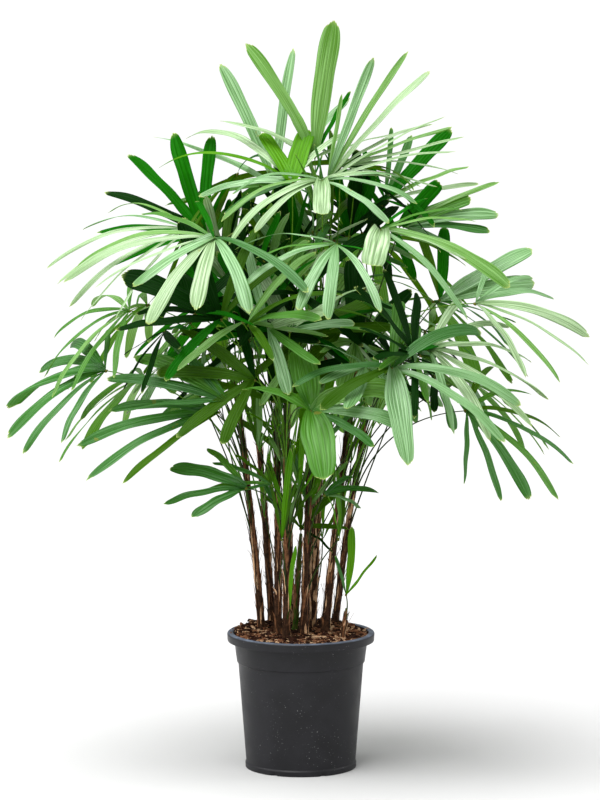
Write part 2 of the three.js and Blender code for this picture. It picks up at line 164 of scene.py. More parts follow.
# Fans that the photograph shows.
SHOWN_FANS = [
    ("top_centre", 6, 0.79, (0.025, 0.01, 1.117), (-90, 10), 6, 134, 5, 0.246, 0.038, 0.3, "bright"),
    ("far_left", 1, 0.52, (-0.35, -0.08, 0.739), (-140, 50), -115, 150, 7, 0.235, 0.027, 0.6, "blue"),
    ("right_reach", 8, 0.72, (0.313, -0.06, 0.858), (-50, 50), 105, 140, 7, 0.245, 0.026, 0.55, "pale"),
    ("right_lower", 9, 0.48, (0.297, -0.06, 0.664), (-50, 45), 130, 170, 8, 0.228, 0.024, 0.7, "blue"),
    ("left_front", 3, 0.765, (-0.153, -0.17, 0.984), (-112, 58), -132, 205, 10, 0.318, 0.029, 0.85, "silver"),
    ("top_right", 7, 0.82, (0.047, -0.03, 1.077), (-90, 12), 45, 62, 6, 0.305, 0.024, 0.3, "pale"),
    ("top_left", 3, 0.77, (-0.016, -0.04, 1.075), (-100, 40), -45, 150, 7, 0.29, 0.028, 1, "bright"),
    ("top_front", 6, 0.76, (0.038, -0.08, 1.08), (-85, 60), 175, 230, 9, 0.235, 0.03, 1, "pale"),
    ("top_striped", 11, 0.8, (-0.047, 0.1, 1.06), (-100, 20), -30, 130, 5, 0.262, 0.027, 0.2, "silver"),
    ("upper_left", 2, 0.77, (-0.175, 0.06, 0.972), (-110, 15), -52, 95, 6, 0.232, 0.024, 0.35, "dark"),
    ("centre_front", 6, 0.71, (0.063, -0.18, 0.974), (-90, 60), -155, 170, 7, 0.235, 0.026, 0.9, "silver"),
    ("right_front", 8, 0.775, (0.141, -0.15, 0.997), (-75, 55), 130, 170, 8, 0.27, 0.033, 0.8, "silver"),
    ("upper_right", 7, 0.79, (0.153, 0.07, 1.035), (-75, 20), 45, 130, 7, 0.215, 0.03, 0.25, "dark"),
    ("outer_right", 8, 0.76, (0.18, 0.03, 0.992), (-70, 15), 68, 80, 6, 0.225, 0.025, 0.25, "bright"),
    ("right_striped", 9, 0.625, (0.253, 0.04, 0.855), (-60, 20), 50, 110, 5, 0.235, 0.036, 0.15, "blue"),
    ("right_middle", 8, 0.64, (0.228, -0.14, 0.783), (-60, 50), 115, 150, 7, 0.245, 0.028, 0.65, "pale"),
    ("right_low_front", 8, 0.52, (0.16, -0.23, 0.76), (-80, 40), 125, 220, 7, 0.24, 0.04, 0.7, "blue"),
    ("low_front", 4, 0.6, (0.018, -0.25, 0.687), (-90, 40), 70, 250, 6, 0.175, 0.048, 0.7, "mid"),
    ("left_middle", 1, 0.69, (-0.308, -0.06, 0.845), (-145, 50), -130, 180, 7, 0.225, 0.024, 0.9, "mid"),
    ("left_folded", 1, 0.56, (-0.131, -0.19, 0.698), (-110, 40), -70, 60, 4, 0.24, 0.03, 0.35, "blue"),
    ("left_low", 1, 0.48, (-0.147, -0.13, 0.67), (-105, 40), -108, 50, 4, 0.27, 0.025, 0.45, "blue"),
    ("left_centre", 4, 0.63, (-0.082, -0.17, 0.732), (-100, 30), -85, 130, 5, 0.185, 0.034, 0.4, "olive"),
    ("left_inner", 1, 0.67, (-0.093, -0.1, 0.805), (-115, 25), -20, 220, 8, 0.2, 0.031, 0.5, "dark"),
    ("heart_upper", 3, 0.7, (-0.005, -0.11, 0.88), (-90, 30), 0, 260, 7, 0.2, 0.031, 0.5, "deep"),
    ("heart_right", 7, 0.64, (0.095, -0.07, 0.76), (-70, 25), 10, 220, 7, 0.2, 0.033, 0.4, "deep"),
    ("centre_inner", 3, 0.64, (-0.06, -0.06, 0.795), (-90, 20), 0, 180, 7, 0.2, 0.033, 0.3, "deep"),
    ("centre_low", 3, 0.54, (-0.049, -0.09, 0.685), (-90, 20), 10, 160, 7, 0.18, 0.034, 0.2, "olive"),
    ("low_left", 4, 0.45, (-0.098, -0.14, 0.535), (-100, 45), -85, 90, 4, 0.155, 0.024, 0.4, "blue"),
    ("low_left_inner", 4, 0.44, (-0.052, -0.11, 0.536), (-100, 35), -75, 60, 4, 0.13, 0.017, 0.3, "blue"),
    ("low_right", 6, 0.4, (0.043, -0.09, 0.515), (-80, 45), 75, 60, 3, 0.12, 0.017, 0.9, "dark"),
    ("sucker_upright", 4, 0.33, (-0.034, -0.094, 0.434), (-90, 5), -3, 24, 3, 0.178, 0.011, 0.05, "young"),
    ("sucker_top", 5, 0.4, (0, 0, 0.44), (-90, 30), 20, 200, 6, 0.095, 0.015, 0.5, "olive"),
    ("young_right", 10, 0.285, (0.082, -0.05, 0.326), (-85, 10), 14, 50, 3, 0.125, 0.017, 0.1, "young"),
]
FANS = [*(Fan(*row) for row in SHOWN_FANS), *back_fans()]
# A low spear among the canes, and slender leaflets behind the large fronds at the left and right.
EXTRA_FANS = [
    ("shoot_low", 4, 0.27, (-0.019, -0.078, 0.306), (-90, 4), 1, 0, 1, 0.15, 0.013, 0.02, "young"),
    ("wisps_left", 2, 0.77, (-0.2, -0.06, 0.99), (-112, 50), -108, 100, 7, 0.285, 0.015, 0.85, "pale"),
    ("wisps_right", 7, 0.82, (0.07, -0.01, 1.1), (-85, 26), 66, 40, 7, 0.24, 0.014, 0.25, "pale"),
]

# Smaller and younger fans among the large ones, each a golden angle further round. From a share
# of the height on, they stand upright, and their measures are these shares of the drawn ones.
INNER_FANS = 44
GOLDEN_ANGLE = 137.5
GOLDEN_SHARE = 0.618
INNER_HEIGHTS = (0.75, 1)
INNER_REACH = (0.03, 0.32)
INNER_NARROWING = 0.6
INNER_STALK_RISES = (0.18, 0.34)
UPRIGHT_FROM = 0.45
UPRIGHT_LIFT = 0.4
UPRIGHT_SHARES = {"clock": 0.4, "spread": 0.65, "length": 0.95, "width": 1.1, "droop": 0.35}
LOWER_SHARES = {"droop": 0.6}
# Small fans on long stalks that leave the canes low, at the left and at the right.
SKIRT_FANS = 14
SKIRT_HEIGHTS = (0.7, 0.84)
SKIRT_REACH = (0.12, 0.28)
SKIRT_SEATS = (0.36, 0.56)
# Low upright fans close to the canes.
SHOOTS = 12
SHOOT_HEIGHTS = (0.4, 0.62)
SHOOT_REACH = (0.03, 0.1)
SHOOT_STALK_RISE = 0.12


def nearest_cane(hub):
    """The tall cane whose top is nearest to a hub on the plan."""
    return min(TALL_CANES, key=lambda number: dist(CANES[number].top[:2], hub[:2]))


def skirt_fans():
    for index in range(SKIRT_FANS):
        dice = Dice(SEEDS["skirt"] * (index + 1))
        turn = 180 * (index % 2) + dice.chance(120)
        hub = polar(dice.between(*SKIRT_REACH), turn, dice.between(*SKIRT_HEIGHTS))
        yield Fan(f"skirt_{index + 1}", nearest_cane(hub), hub=hub,
                  face=(turn + dice.chance(60), dice.between(20, 60)),
                  clock=180 + dice.chance(60), spread=dice.between(130, 220),
                  leaflets=dice.pick((5, 6)), length=dice.between(0.12, 0.15),
                  width=dice.between(0.018, 0.028), droop=dice.between(0.1, 0.4),
                  seat=dice.between(*SKIRT_SEATS))


def inner_fans():
    """Fans inside the crown: the higher they are, the nearer to its middle."""
    for index in range(INNER_FANS):
        dice = Dice(SEEDS["inner"] * (index + 1))
        rise = (index * GOLDEN_SHARE) % 1
        upright = rise > UPRIGHT_FROM
        height = INNER_HEIGHTS[0] + (INNER_HEIGHTS[1] - INNER_HEIGHTS[0]) * rise
        turn = GOLDEN_ANGLE * index
        hub = polar(dice.between(*INNER_REACH) * (1 - INNER_NARROWING * rise), turn, height)
        cane = nearest_cane(hub)
        seat = below_top(cane, height - dice.between(*INNER_STALK_RISES))
        face = (turn + dice.chance(70), dice.between(5, 55) * (UPRIGHT_LIFT if upright else 1))
        fan = Fan(f"inner_{index + 1}", cane, seat, hub, face,
                  clock=dice.chance(120), spread=dice.between(150, 250),
                  leaflets=dice.pick((6, 7, 8)), length=dice.between(0.15, 0.21),
                  width=dice.between(0.018, 0.034), droop=dice.between(0.3, 0.8))
        shares = UPRIGHT_SHARES if upright else LOWER_SHARES
        yield fan._replace(**{key: getattr(fan, key) * share for key, share in shares.items()})


def shoot_fans():
    for index in range(SHOOTS):
        dice = Dice(SEEDS["shoot"] * (index + 1))
        turn = GOLDEN_ANGLE * index - 90
        hub = polar(dice.between(*SHOOT_REACH), turn, dice.between(*SHOOT_HEIGHTS))
        yield Fan(f"shoot_{index + 1}", nearest_cane(hub), hub[2] - SHOOT_STALK_RISE, hub,
                  (turn + dice.chance(60), dice.between(0, 12)), clock=0, spread=70,
                  leaflets=dice.pick((4, 5, 6)), length=dice.between(0.13, 0.2),
                  width=dice.between(0.012, 0.024), droop=0.15, tone="young")


# ---- small mathematics

class Dice:
    """Lehmer generator: the same numbers for the same seed."""

    FACTOR = 16807
    MODULUS = 2147483647

    def __init__(self, seed):
        self.state = seed

    def roll(self):
        self.state = self.state * self.FACTOR % self.MODULUS
        return self.state / self.MODULUS

    def chance(self, spread):
        return (self.roll() - 0.5) * spread

    def between(self, low, high):
        return low + (high - low) * self.roll()

    def pick(self, options):
        return options[int(self.roll() * len(options))]


def unit(vectors):
    return vectors / np.linalg.norm(vectors, axis=-1, keepdims=True)


def angles_round(count):
    return np.linspace(0, 2 * pi, count, endpoint=False)


def bezier(points, share):
    """Point and tangent of a quadratic curve at a share, or at an array of shares."""
    start, middle, end = points
    share = np.asarray(share, float)[..., None]
    point = start * (1 - share) ** 2 + middle * 2 * share * (1 - share) + end * share ** 2
    tangent = (middle - start) * (1 - share) + (end - middle) * share
    return point, unit(tangent)


def smooth_through(knots, values, at):
    """Cubic curve through values at knots. Its slope at a knot is that of the parabola there."""
    flat = values.reshape(len(values), -1)
    steps = np.diff(knots)[:, None]
    rises = np.diff(flat, axis=0) / steps
    inner = (rises[:-1] * steps[1:] + rises[1:] * steps[:-1]) / (steps[:-1] + steps[1:])
    slopes = np.concatenate([[2 * rises[0] - inner[0]], inner, [2 * rises[-1] - inner[-1]]])
    cell = np.clip(np.searchsorted(knots, at, side="right") - 1, 0, len(steps) - 1)
    step = steps[cell]
    t = (at - knots[cell])[..., None] / step
    curve = ((1 + 2 * t) * (1 - t) ** 2 * flat[cell] + t * (1 - t) ** 2 * step * slopes[cell]
             + t * t * (3 - 2 * t) * flat[cell + 1] + t * t * (t - 1) * step * slopes[cell + 1])
    return curve.reshape(at.shape + values.shape[1:])


# ---- the rule of canes and fronds

def cane_curve(cane):
    foot = np.array([*cane.foot, SOIL_TOP + SEAT_GAP])
    top = np.array(cane.top)
    middle = foot + (top - foot) * EARLY_LEAN
    middle[2] = (foot[2] + top[2]) / 2
    return np.array([foot, middle, top])


def rise_of(curve):
    return curve[2][2] - curve[0][2]


def share_at(curve, height):
    """Where on a cane's curve a height is reached, as a share."""
    return (height - curve[0][2]) / rise_of(curve)


def cane_radius(cane, share):
    thick, thin = cane.radii
    flare = np.maximum(0, 1 - share / FLARE_SHARE) * (CANE_FLARE - 1)
    return (thick + (thin - thick) * share) * (1 + flare)


def stalk_radius(share):
    return STALK_RADII[0] + (STALK_RADII[1] - STALK_RADII[0]) * share


def level_way(start, end):
    """The level direction from one point to another."""
    return unit(np.array([end[0] - start[0], end[1] - start[1], 0]))


def stalk_curve(fan, sway=0, drop=0):
    """Middle line of a fan's stalk, from the middle of its cane to its hub."""
    curve = cane_curve(CANES[fan.cane])
    seat, rise = bezier(curve, share_at(curve, fan.seat - drop * STALK_DROP))
    hub = np.array(fan.hub)
    reach = np.linalg.norm(hub - seat)
    out = level_way(seat, hub)
    across = np.array([-out[1], out[0], 0])
    knee = seat + rise * reach * STALK_RISE + out * reach * STALK_REACH
    return np.array([seat, knee + across * sway * STALK_SWAY, hub])


def stalk_corners(curve):
    """Corners of the frame's three-sided stalk, some way up it."""
    centre, tangent = bezier(curve, STALK_PROBES)
    side = unit(np.cross(curve[1] - curve[0], curve[2] - curve[1])) * stalk_radius(STALK_PROBES)[:, None]
    under = np.cross(side, tangent)
    angles = np.radians([0, 120, 240])
    return np.concatenate([centre + side * sin(a) + under * cos(a) for a in angles])


def fan_axes(fan):
    """A fan's upper face, the way uphill in its plane, and the way to its right."""
    turn, lift = fan.face[0], radians(fan.face[1])
    face, up = polar(cos(lift), turn, sin(lift)), polar(-sin(lift), turn, cos(lift))
    return face, up, np.cross(up, face)


Plan = namedtuple("Plan", "index place clock length width droop")


def leaflet_plans(fan, number):
    """Leaflets of a fan by one rule: even clock angles, with a little chance in each."""
    dice = Dice(SEEDS["leaflets"] * (number + 1))
    for index in range(fan.leaflets):
        place = 2 * index / max(1, fan.leaflets - 1) - 1
        yield Plan(
            index, place,
            fan.clock + place * fan.spread / 2 + dice.chance(ANGLE_CHANCE),
            fan.length * (1 - SIDE_SHORTENING * place ** 2) * (1 + dice.chance(LENGTH_CHANCE)),
            fan.width * (1 - SIDE_NARROWING * place ** 2) * (1 + dice.chance(WIDTH_CHANCE)),
            fan.droop * (1 + dice.chance(DROOP_CHANCE)))


def leaflet_spine(fan, plan, turn, bend):
    """Middle points of a leaflet at the frame's sections, turned and bent where it needs room."""
    face, up, right = fan_axes(fan)
    clock = radians(plan.clock + turn)
    outward = up * cos(clock) + right * sin(clock)
    spine = [np.array(fan.hub) + outward * LEAFLET_ROOT]
    for last, share in zip(SECTIONS[:-1], SECTIONS[1:]):
        middle = (share + last) / 2
        heading = outward + face * LEAFLET_CUP * (1 - middle)
        heading[2] -= (plan.droop + bend) * middle ** DROOP_POWER
        spine.append(spine[-1] + unit(heading) * (share - last) * (plan.length - LEAFLET_ROOT))
    return np.array(spine)


def leaflet_corners(fan, plan, spine):
    """The tip and the upper corners of the frame's plain blade round a spine."""
    heading = unit(np.diff(spine, axis=0))
    side = unit(np.cross(fan_axes(fan)[0], heading))
    half = (SECTION_WIDTHS[1:, None] * plan.width) / 2
    under = -np.cross(heading, side)
    tip = spine[-1] + under[-1] * plan.length * THICKNESS_SHARE / 3
    return np.concatenate([[tip], (spine[1:] + side * half)[:-1], (spine[1:] - side * half)[:-1]])


# ---- finding the rule in the frame

def vertex_tree(node):
    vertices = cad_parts[node].data.vertices
    tree = KDTree(len(vertices))
    for vertex in vertices:
        tree.insert(vertex.co, vertex.index)
    tree.balance()
    return tree


def best_match(tree, tries, corners_of, least):
    """The first try with the most corners in the frame, or None where the frame left it out."""
    shares = [np.mean([tree.find(corner)[2] < MATCH_DISTANCE for corner in corners_of(*attempt)])
              for attempt in tries]
    best = max(shares)
    return tries[shares.index(best)] if best >= least else None


def frond_as_built(fan, number):
    """Stalk curve and leaflet spines of a frond, as the frame has them."""
    tree = vertex_tree(f"frond_{fan.name}")
    stalk = best_match(tree, STALK_TRIES, lambda *t: stalk_corners(stalk_curve(fan, *t)), LEAST_OF_STALK)
    leaflets = []
    for plan in leaflet_plans(fan, number):
        found = best_match(
            tree, LEAFLET_TRIES,
            lambda *t: leaflet_corners(fan, plan, leaflet_spine(fan, plan, *t)), LEAST_OF_LEAFLET)
        look = seen(fan, plan)
        if found is None and look != AS_RULED:
            found = (0, 0)
        if found is not None:
            leaflets.append((plan, leaflet_spine(fan, plan, found[0] + look.turn, found[1])))
    return stalk_curve(fan, *(stalk or (0, 0))), leaflets


# ---- meshes out of grids of points

def linked(name, data, place=(0, 0, 0), turn=(0, 0, 0)):
    """An object of the scene at a place, turned by three angles in radians."""
    thing = bpy.data.objects.new(name, data)
    thing.location = place
    thing.rotation_euler = turn
    bpy.context.scene.collection.objects.link(thing)
    return thing


def numbered(grid):
    """The numbers of a grid's points, in its rows and columns."""
    return np.arange(grid.shape[0] * grid.shape[1]).reshape(grid.shape[:2])


def joined(numbers):
    """Faces of four corners between rows and columns of numbered points."""
    corners = [numbers[:-1, :-1], numbers[:-1, 1:], numbers[1:, 1:], numbers[1:, :-1]]
    return np.stack(corners, axis=-1).reshape(-1, 4)


class Batch:
    """Sheets, tubes and small solids gathered into one mesh, each face with its paint."""

    def __init__(self, *paints):
        self.paints = list(paints)
        self.points, self.faces, self.maps, self.slots = [], [], [], []
        self.count = 0

    def add_faces(self, points, faces, paint, uv=None):
        self.points.append(points)
        self.faces.append(np.asarray(faces) + self.count)
        self.maps.append(np.zeros((len(points), 2)) if uv is None else uv.reshape(-1, 2))
        slot = self.paints.index(paint) if isinstance(paint, str) else paint
        self.slots.append(np.broadcast_to(slot, len(faces)))
        self.count += len(points)

    def add_grid(self, grid, paint, uv=None, closed=False):
        """A sheet of rows and columns, or a tube where the columns close round."""
        numbers = numbered(grid)
        if closed:
            numbers = np.concatenate([numbers, numbers[:, :1]], axis=1)
        self.add_faces(grid.reshape(-1, 3), joined(numbers), paint, uv)

    def build(self, name, slot, nodes=(), smooth=True):
        """The finished piece: it rides on the plant's body and stands for its CAD nodes."""
        faces = np.concatenate(self.faces)
        mesh = bpy.data.meshes.new(name)
        mesh.from_pydata(np.concatenate(self.points).tolist(), [], faces.tolist())
        mesh.polygons.foreach_set("material_index", np.concatenate(self.slots).astype(np.int32))
        mesh.polygons.foreach_set("use_smooth", np.full(len(faces), smooth))
        uv = np.concatenate(self.maps)[faces.ravel()].astype(np.float32)
        mesh.uv_layers.new(name="across_along").data.foreach_set("uv", uv.ravel())
        for paint in self.paints:
            mesh.materials.append(bpy.data.materials[paint])
        piece = linked(name, mesh)
        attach(piece, "root")
        if nodes:
            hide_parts(*nodes)


def tube(centres, sides, overs, radii, corners):
    """Rings of points round a line, from two directions across it and a radius at each point."""
    angles = angles_round(corners)
    ring = sides[:, None] * np.cos(angles)[None, :, None] + overs[:, None] * np.sin(angles)[None, :, None]
    return centres[:, None] + ring * np.asarray(radii)[:, None, None]


# A direction that no tube runs along.
ACROSS_GUIDE = np.array([0.31, 0.85, 0.42])


def tube_along(centres, radii, corners):
    """A tube whose sections are square to its line."""
    tangents = unit(np.gradient(centres, axis=0))
    sides = unit(np.cross(tangents, ACROSS_GUIDE))
    return tube(centres, sides, np.cross(tangents, sides), radii, corners)


# ---- leaflets

LEAF_ROWS = 26
ROW_CROWDING = 1.2
COLUMNS_PER_RIB = 4
RIB_PITCH = 0.0055
RIB_COUNTS = (3, 8)
# Width along a leaflet: pleated and blunt, round shouldered, cut short, or lance shaped.
FINE_SHARES = np.array([0, 0.26, 0.58, 0.92, 1])
FINE_WIDTHS = np.array([0.16, 0.82, 0.98, 0.82, 0.45])
SHOULDERED_WIDTHS = np.array([0.3, 1, 0.94, 0.6, 0.36])
STRIP_WIDTHS = np.array([0.6, 0.98, 1, 0.86, 0.66])
LANCE_WIDTHS = np.array([0.34, 0.84, 1, 0.74, 0.24])
# Leaflets seen singly in the photograph, by fan and number in it: their tone, painted as light and shade fall
# on them, their width and length against the rule's, and how far they are turned on the clock.
SEEN_LEAFLETS = {
    "top_centre": {0: ("pale", 0.7), 1: ("bright", 0.75), 2: ("bright", 1), 3: ("dark", 0.25, 0.6, -16),
        4: ("pale", 0.45, 0.8)},
    "top_right": {0: ("bright", 0.45, 0.7, -6), 1: ("silver", 0.75, 0.9, -2),
        2: ("bright", 0.5, 0.95, -10), 3: ("pale", 0.55, 0.93, -8), 4: ("pale", 0.45, 0.9, -6),
        5: ("pale", 0.6, 1, -6)},
    "top_left": {0: ("blue", 1.1, 0.62, 4), 1: ("silver", 1.05, 0.62, -8), 2: ("young", 0.35, 1, 12),
        3: ("pale", 0.6, 1, -2), 4: ("young", 1, 0.42, -4), 5: ("young", 1.3, 0.42, 2),
        6: ("pale", 0.85, 0.66, 4)},
    "top_front": {0: ("pale", 1, 1, 2), 1: ("silver", 0.6, 0.9, -12), 2: ("silver", 0.5, 0.8, -22),
        3: ("silver", 0.5, 0.7, -14), 4: ("pale", 0.95, 0.46, 13), 5: ("pale", 0.5, 0.85, 26),
        6: ("pale", 0.9, 1, 12), 7: ("bright", 0.45), 8: ("silver", 0.5)},
    "upper_left": {4: ("dark", 1.5, 1, -2), 5: ("dark", 1.6)},
    "upper_right": {0: ("dark", 0.5, 0.6), 1: ("blue", 0.3, 0.66, 6), 2: ("blue", 0.4, 0.66, 2),
        3: ("dark", 0.85, 0.84, -2), 4: ("bright", 0.5, 0.8), 5: ("pale", 0.35, 1, -12),
        6: ("dark", 0.6, 0.8)},
    "outer_right": {0: ("dark", 1.5, 0.62, 18), 1: ("bright", 0.4, 1, 20), 2: ("mid", 1.1, 0.62, 11),
        3: ("silver", 1.2, 0.8, 2), 4: ("blue", 1.2, 0.78, -2), 5: ("silver", 0.9, 0.85, 6)},
    "right_striped": {1: ("dark", 0.7, 0.6, -10), 2: ("silver", 0.95, 0.97, 7),
        3: ("silver", 0.8, 0.95, 2), 4: ("blue", 0.7, 0.9)},
    "right_reach": {0: ("silver", 0.5, 0.6, 10), 1: ("silver", 0.6, 0.9, 8)},
    "right_front": {0: ("dark", 0.4, 0.7), 1: ("mid", 0.3, 0.8), 2: ("bright", 0.25, 0.75, -4),
        3: ("bright", 0.85, 0.95, -8), 4: ("pale", 0.45, 0.6, -26), 5: ("silver", 0.65, 1, -19),
        7: ("pale", 1.6, 0.54, -11)},
    "centre_front": {0: ("dark", 0.45, 0.8), 1: ("silver", 0.6, 0.95, 4), 2: ("silver", 0.85, 0.88, -3),
        3: ("silver", 0.72, 0.82), 4: ("silver", 0.6, 0.85, 16), 5: ("mid", 0.5, 0.7),
        6: ("silver", 0.5)},
    "left_front": {0: ("blue", 0.8, 0.93, -12), 1: ("silver", 0.93, 0.85, -8), 2: ("pale", 1.05, 0.68),
        3: ("pale", 0.77, 0.8, 2), 4: ("silver", 1.25, 0.6, -4), 5: ("pale", 0.45, 0.7, -2),
        6: ("pale", 0.5, 0.93), 7: ("bright", 0.5, 1, -8), 8: ("mid", 0.5, 0.7, -12),
        9: ("dark", 0.5, 0.5)},
    "low_front": {3: ("silver", 0.6), 4: ("dark", 0.4, 0.8, -26), 5: ("mid", 1.7, 1, -25)},
    "right_low_front": {1: ("blue", 0.7), 2: ("silver", 0.45, 1, 4), 3: ("silver", 0.55, 1, -6),
        4: ("silver", 1.06, 0.86, 17), 5: ("dark", 0.55, 0.9, 75), 6: ("olive", 0.6, 0.9, 14)},
    "young_right": {0: ("dark", 0.5, 0.8), 1: ("young", 0.68, 0.97, -4), 2: ("young", 0.6)},
    "far_left": {2: ("blue", 1.5, 1, 4), 3: ("blue", 1.9, 1, 6)},
    "left_low": {2: ("blue", 1.25)},
    "shoot_low": {0: ("young", 0.75)},
    "low_left": {0: ("blue", 1.45, 1, 8), 1: ("dark", 0.9), 2: ("blue", 1.4, 1, 4), 3: ("mid", 0.9)},
    "low_right": {0: ("dark", 0.9, 0.8, -2), 1: ("blue", 1.5, 0.93, 3), 2: ("silver", 1, 0.8)},
}
Look = namedtuple("Look", "tone wide long turn", defaults=[1, 0])
AS_RULED = Look(None, None)
# Turns, in degrees, that keep a leaflet from cutting through one that the photograph shows.
KEPT_CLEAR = {
    "left_centre": {1: -14}, "left_inner": {5: 4, 6: 10}, "left_folded": {3: -8}, "far_left": {4: 6},
    "centre_inner": {4: 6}, "centre_low": {4: 2}, "back_top_2": {5: -6}, "back_top_3": {4: -2},
    "back_upper_1": {4: 2}, "back_upper_2": {3: -6}, "back_middle_2": {0: -2, 2: -10},
    "back_middle_3": {1: -4},
}
# Fans whose broad leaflets bend over close to the hub, with round shoulders.
BENT_OVER = ("low_front", "right_low_front")
# Low fans whose leaflets are lance shaped and lie flat.
LANCED = ("low_left", "low_right", "left_low")
# Fans whose leaflets are all wider than the rule's.
WIDE_FANS = {"low_front": 1.3, "left_folded": 1.45, "left_low": 1.45, "left_middle": 1.1}
# A leaflet this much shorter than the rule's is a strip cut off, and hardly rolls.
CUT_SHORT = 0.65
STEADY = 0.15
# Ranges that chance picks from: how blunt, askew and toothed a leaflet's tip is, how far it
# sways, faces the sky and rolls, how slim it is beside others or singly, how it tapers, arches
# and is pleated, and the waves of its edges.
BLUNTNESS = (0.02, 0.07)
ASKEW = 0.03
TEETH = (0.008, 0.02)
SWAY = 0.03
SKYWARD = (0.15, 0.75)
ROLLS = (0.5, 0.9)
SLIM = (0.66, 0.98)
SLIM_SINGLY = (1, 1.12)
TAPERS = (0, 0.5)
ARCHES = (-0.12, 0.22)
PLEATS = (0.12, 0.3)
WAVES = (9, 16)
WAVE_STARTS = (0, 6)
WAVE_HEIGHT = 0.0012
# The root: how far it is from the hub, how deeply it is folded, and how long the fold is.
ROOT_REACH = 0.2
ROOT_FOLD = 0.9
FOLD_LENGTH = 0.4
LOOK_AHEAD = 0.01
BLUNT_POWER = 1.7
ROLL_AT_ROOT = 0.35
MIDDLE_PLACES = 0.2
UNCUT_WIDE = 0.9
PLEAT_RISE = 5
PLEAT_AT_ROOT = 0.2
UP = np.array([0, 0, 1])


def seen(fan, plan):
    """What the photograph shows of a leaflet, with the turn that keeps it clear."""
    look = Look(*SEEN_LEAFLETS.get(fan.name, {}).get(plan.index, AS_RULED))
    return look._replace(turn=look.turn + KEPT_CLEAR.get(fan.name, {}).get(plan.index, 0))


def tip_ends(across, grooves, dice):
    """Share of the length at which each column ends: blunt, a little askew, with small teeth."""
    blunt = dice.between(*BLUNTNESS) * np.abs(across) ** BLUNT_POWER
    askew = dice.chance(ASKEW)
    return 1 - blunt + askew * across - abs(askew) - dice.between(*TEETH) * grooves


def leaflet_axes(fan, look, spine, share, dice):
    """Where a leaflet's middle is at each point, and which way its side and upper face are."""
    face = fan_axes(fan)[0]
    root = np.array(fan.hub) * (1 - ROOT_REACH) + spine[0] * ROOT_REACH
    spine = np.concatenate([[root], spine[1:]])
    sway = dice.chance(SWAY) * unit(np.cross(face, spine[2] - spine[0]))
    spine = spine + sway * SECTIONS[:, None] ** 2
    reach = share * look.long
    centre = smooth_through(SECTIONS, spine, reach)
    ahead = smooth_through(SECTIONS, spine, np.clip(reach + LOOK_AHEAD, 0, 1 + 2 * LOOK_AHEAD))
    heading = unit(ahead - centre)
    skyward = (dice.between(*SKYWARD) * np.clip(share * 3, 0, 1))[..., None]
    side = unit(np.cross(face * (1 - skyward) + UP * skyward, heading))
    top = np.cross(heading, side)
    steady = STEADY if look.long < CUT_SHORT or fan.name in LANCED else 1
    whole, curl = (dice.chance(spread) for spread in ROLLS)
    roll = steady * (whole * (ROLL_AT_ROOT + share) + curl * share ** 2)[..., None]
    return centre, side * np.cos(roll) + top * np.sin(roll), top * np.cos(roll) - side * np.sin(roll)


def leaflet_half(fan, plan, look, share, dice):
    """Half of a leaflet's width at each point."""
    single = look.wide is not None or abs(plan.place) < MIDDLE_PLACES
    slim = dice.between(*(SLIM_SINGLY if single else SLIM))
    slim *= look.wide or WIDE_FANS.get(fan.name, 1)
    taper = 0 if single else dice.between(*TAPERS)
    widths = FINE_WIDTHS * (1 - taper * np.clip(FINE_SHARES * 2 - 1, 0, 1))
    if look.long < CUT_SHORT and look.wide > UNCUT_WIDE:
        widths = STRIP_WIDTHS
    elif fan.name in BENT_OVER and (look.wide or 0) > 1:
        widths = SHOULDERED_WIDTHS
    elif fan.name in LANCED:
        widths = LANCE_WIDTHS
    return smooth_through(FINE_SHARES, widths, share) * plan.width * slim / 2


def leaflet_grid(fan, plan, spine, dice):
    """A pleated leaflet round its spine, and where each point is: ribs across, share along."""
    look = seen(fan, plan)
    ribs = int(np.clip(round(plan.width / RIB_PITCH), *RIB_COUNTS))
    across = np.linspace(-1, 1, ribs * COLUMNS_PER_RIB + 1)
    pleat = np.abs(np.sin(pi * ribs * (across + 1) / 2))
    rows = np.sin(np.linspace(0, 1, LEAF_ROWS) * pi / 2) ** ROW_CROWDING
    share = rows[:, None] * tip_ends(across, 1 - pleat, dice)[None, :]
    centre, side, top = leaflet_axes(fan, look, spine, share, dice)
    half = leaflet_half(fan, plan, look, share, dice)
    fold = ROOT_FOLD * np.clip(1 - share / FOLD_LENGTH, 0, 1) ** 2
    arch = dice.between(*ARCHES) * np.sin(pi * np.clip(share, 0, 1)) ** 0.5
    relief = dice.between(*PLEATS) * 2 * half / ribs * np.clip(share * PLEAT_RISE, PLEAT_AT_ROOT, 1)
    wave = WAVE_HEIGHT * np.sin(share * dice.between(*WAVES) + dice.between(*WAVE_STARTS)) * across ** 2
    step = across * half
    height = fold * np.abs(step) + arch * half * (1 - across ** 2) + relief * pleat + wave
    grid = centre + side * step[..., None] + top * height[..., None]
    return grid, np.stack(np.broadcast_arrays((across + 1) / 2 * ribs, share), axis=-1)


# ---- materials

def srgb(*levels):
    """Linear colour of a screen colour of 0 to 255."""
    shares = (level / 255 for level in levels)
    return (*(s / 12.92 if s <= 0.04045 else ((s + 0.055) / 1.055) ** 2.4 for s in shares), 1)


def shaded(colour, *shares):
    """A share of each of a colour's red, green and blue."""
    return (*(value * share for value, share in zip(colour, shares)), 1)


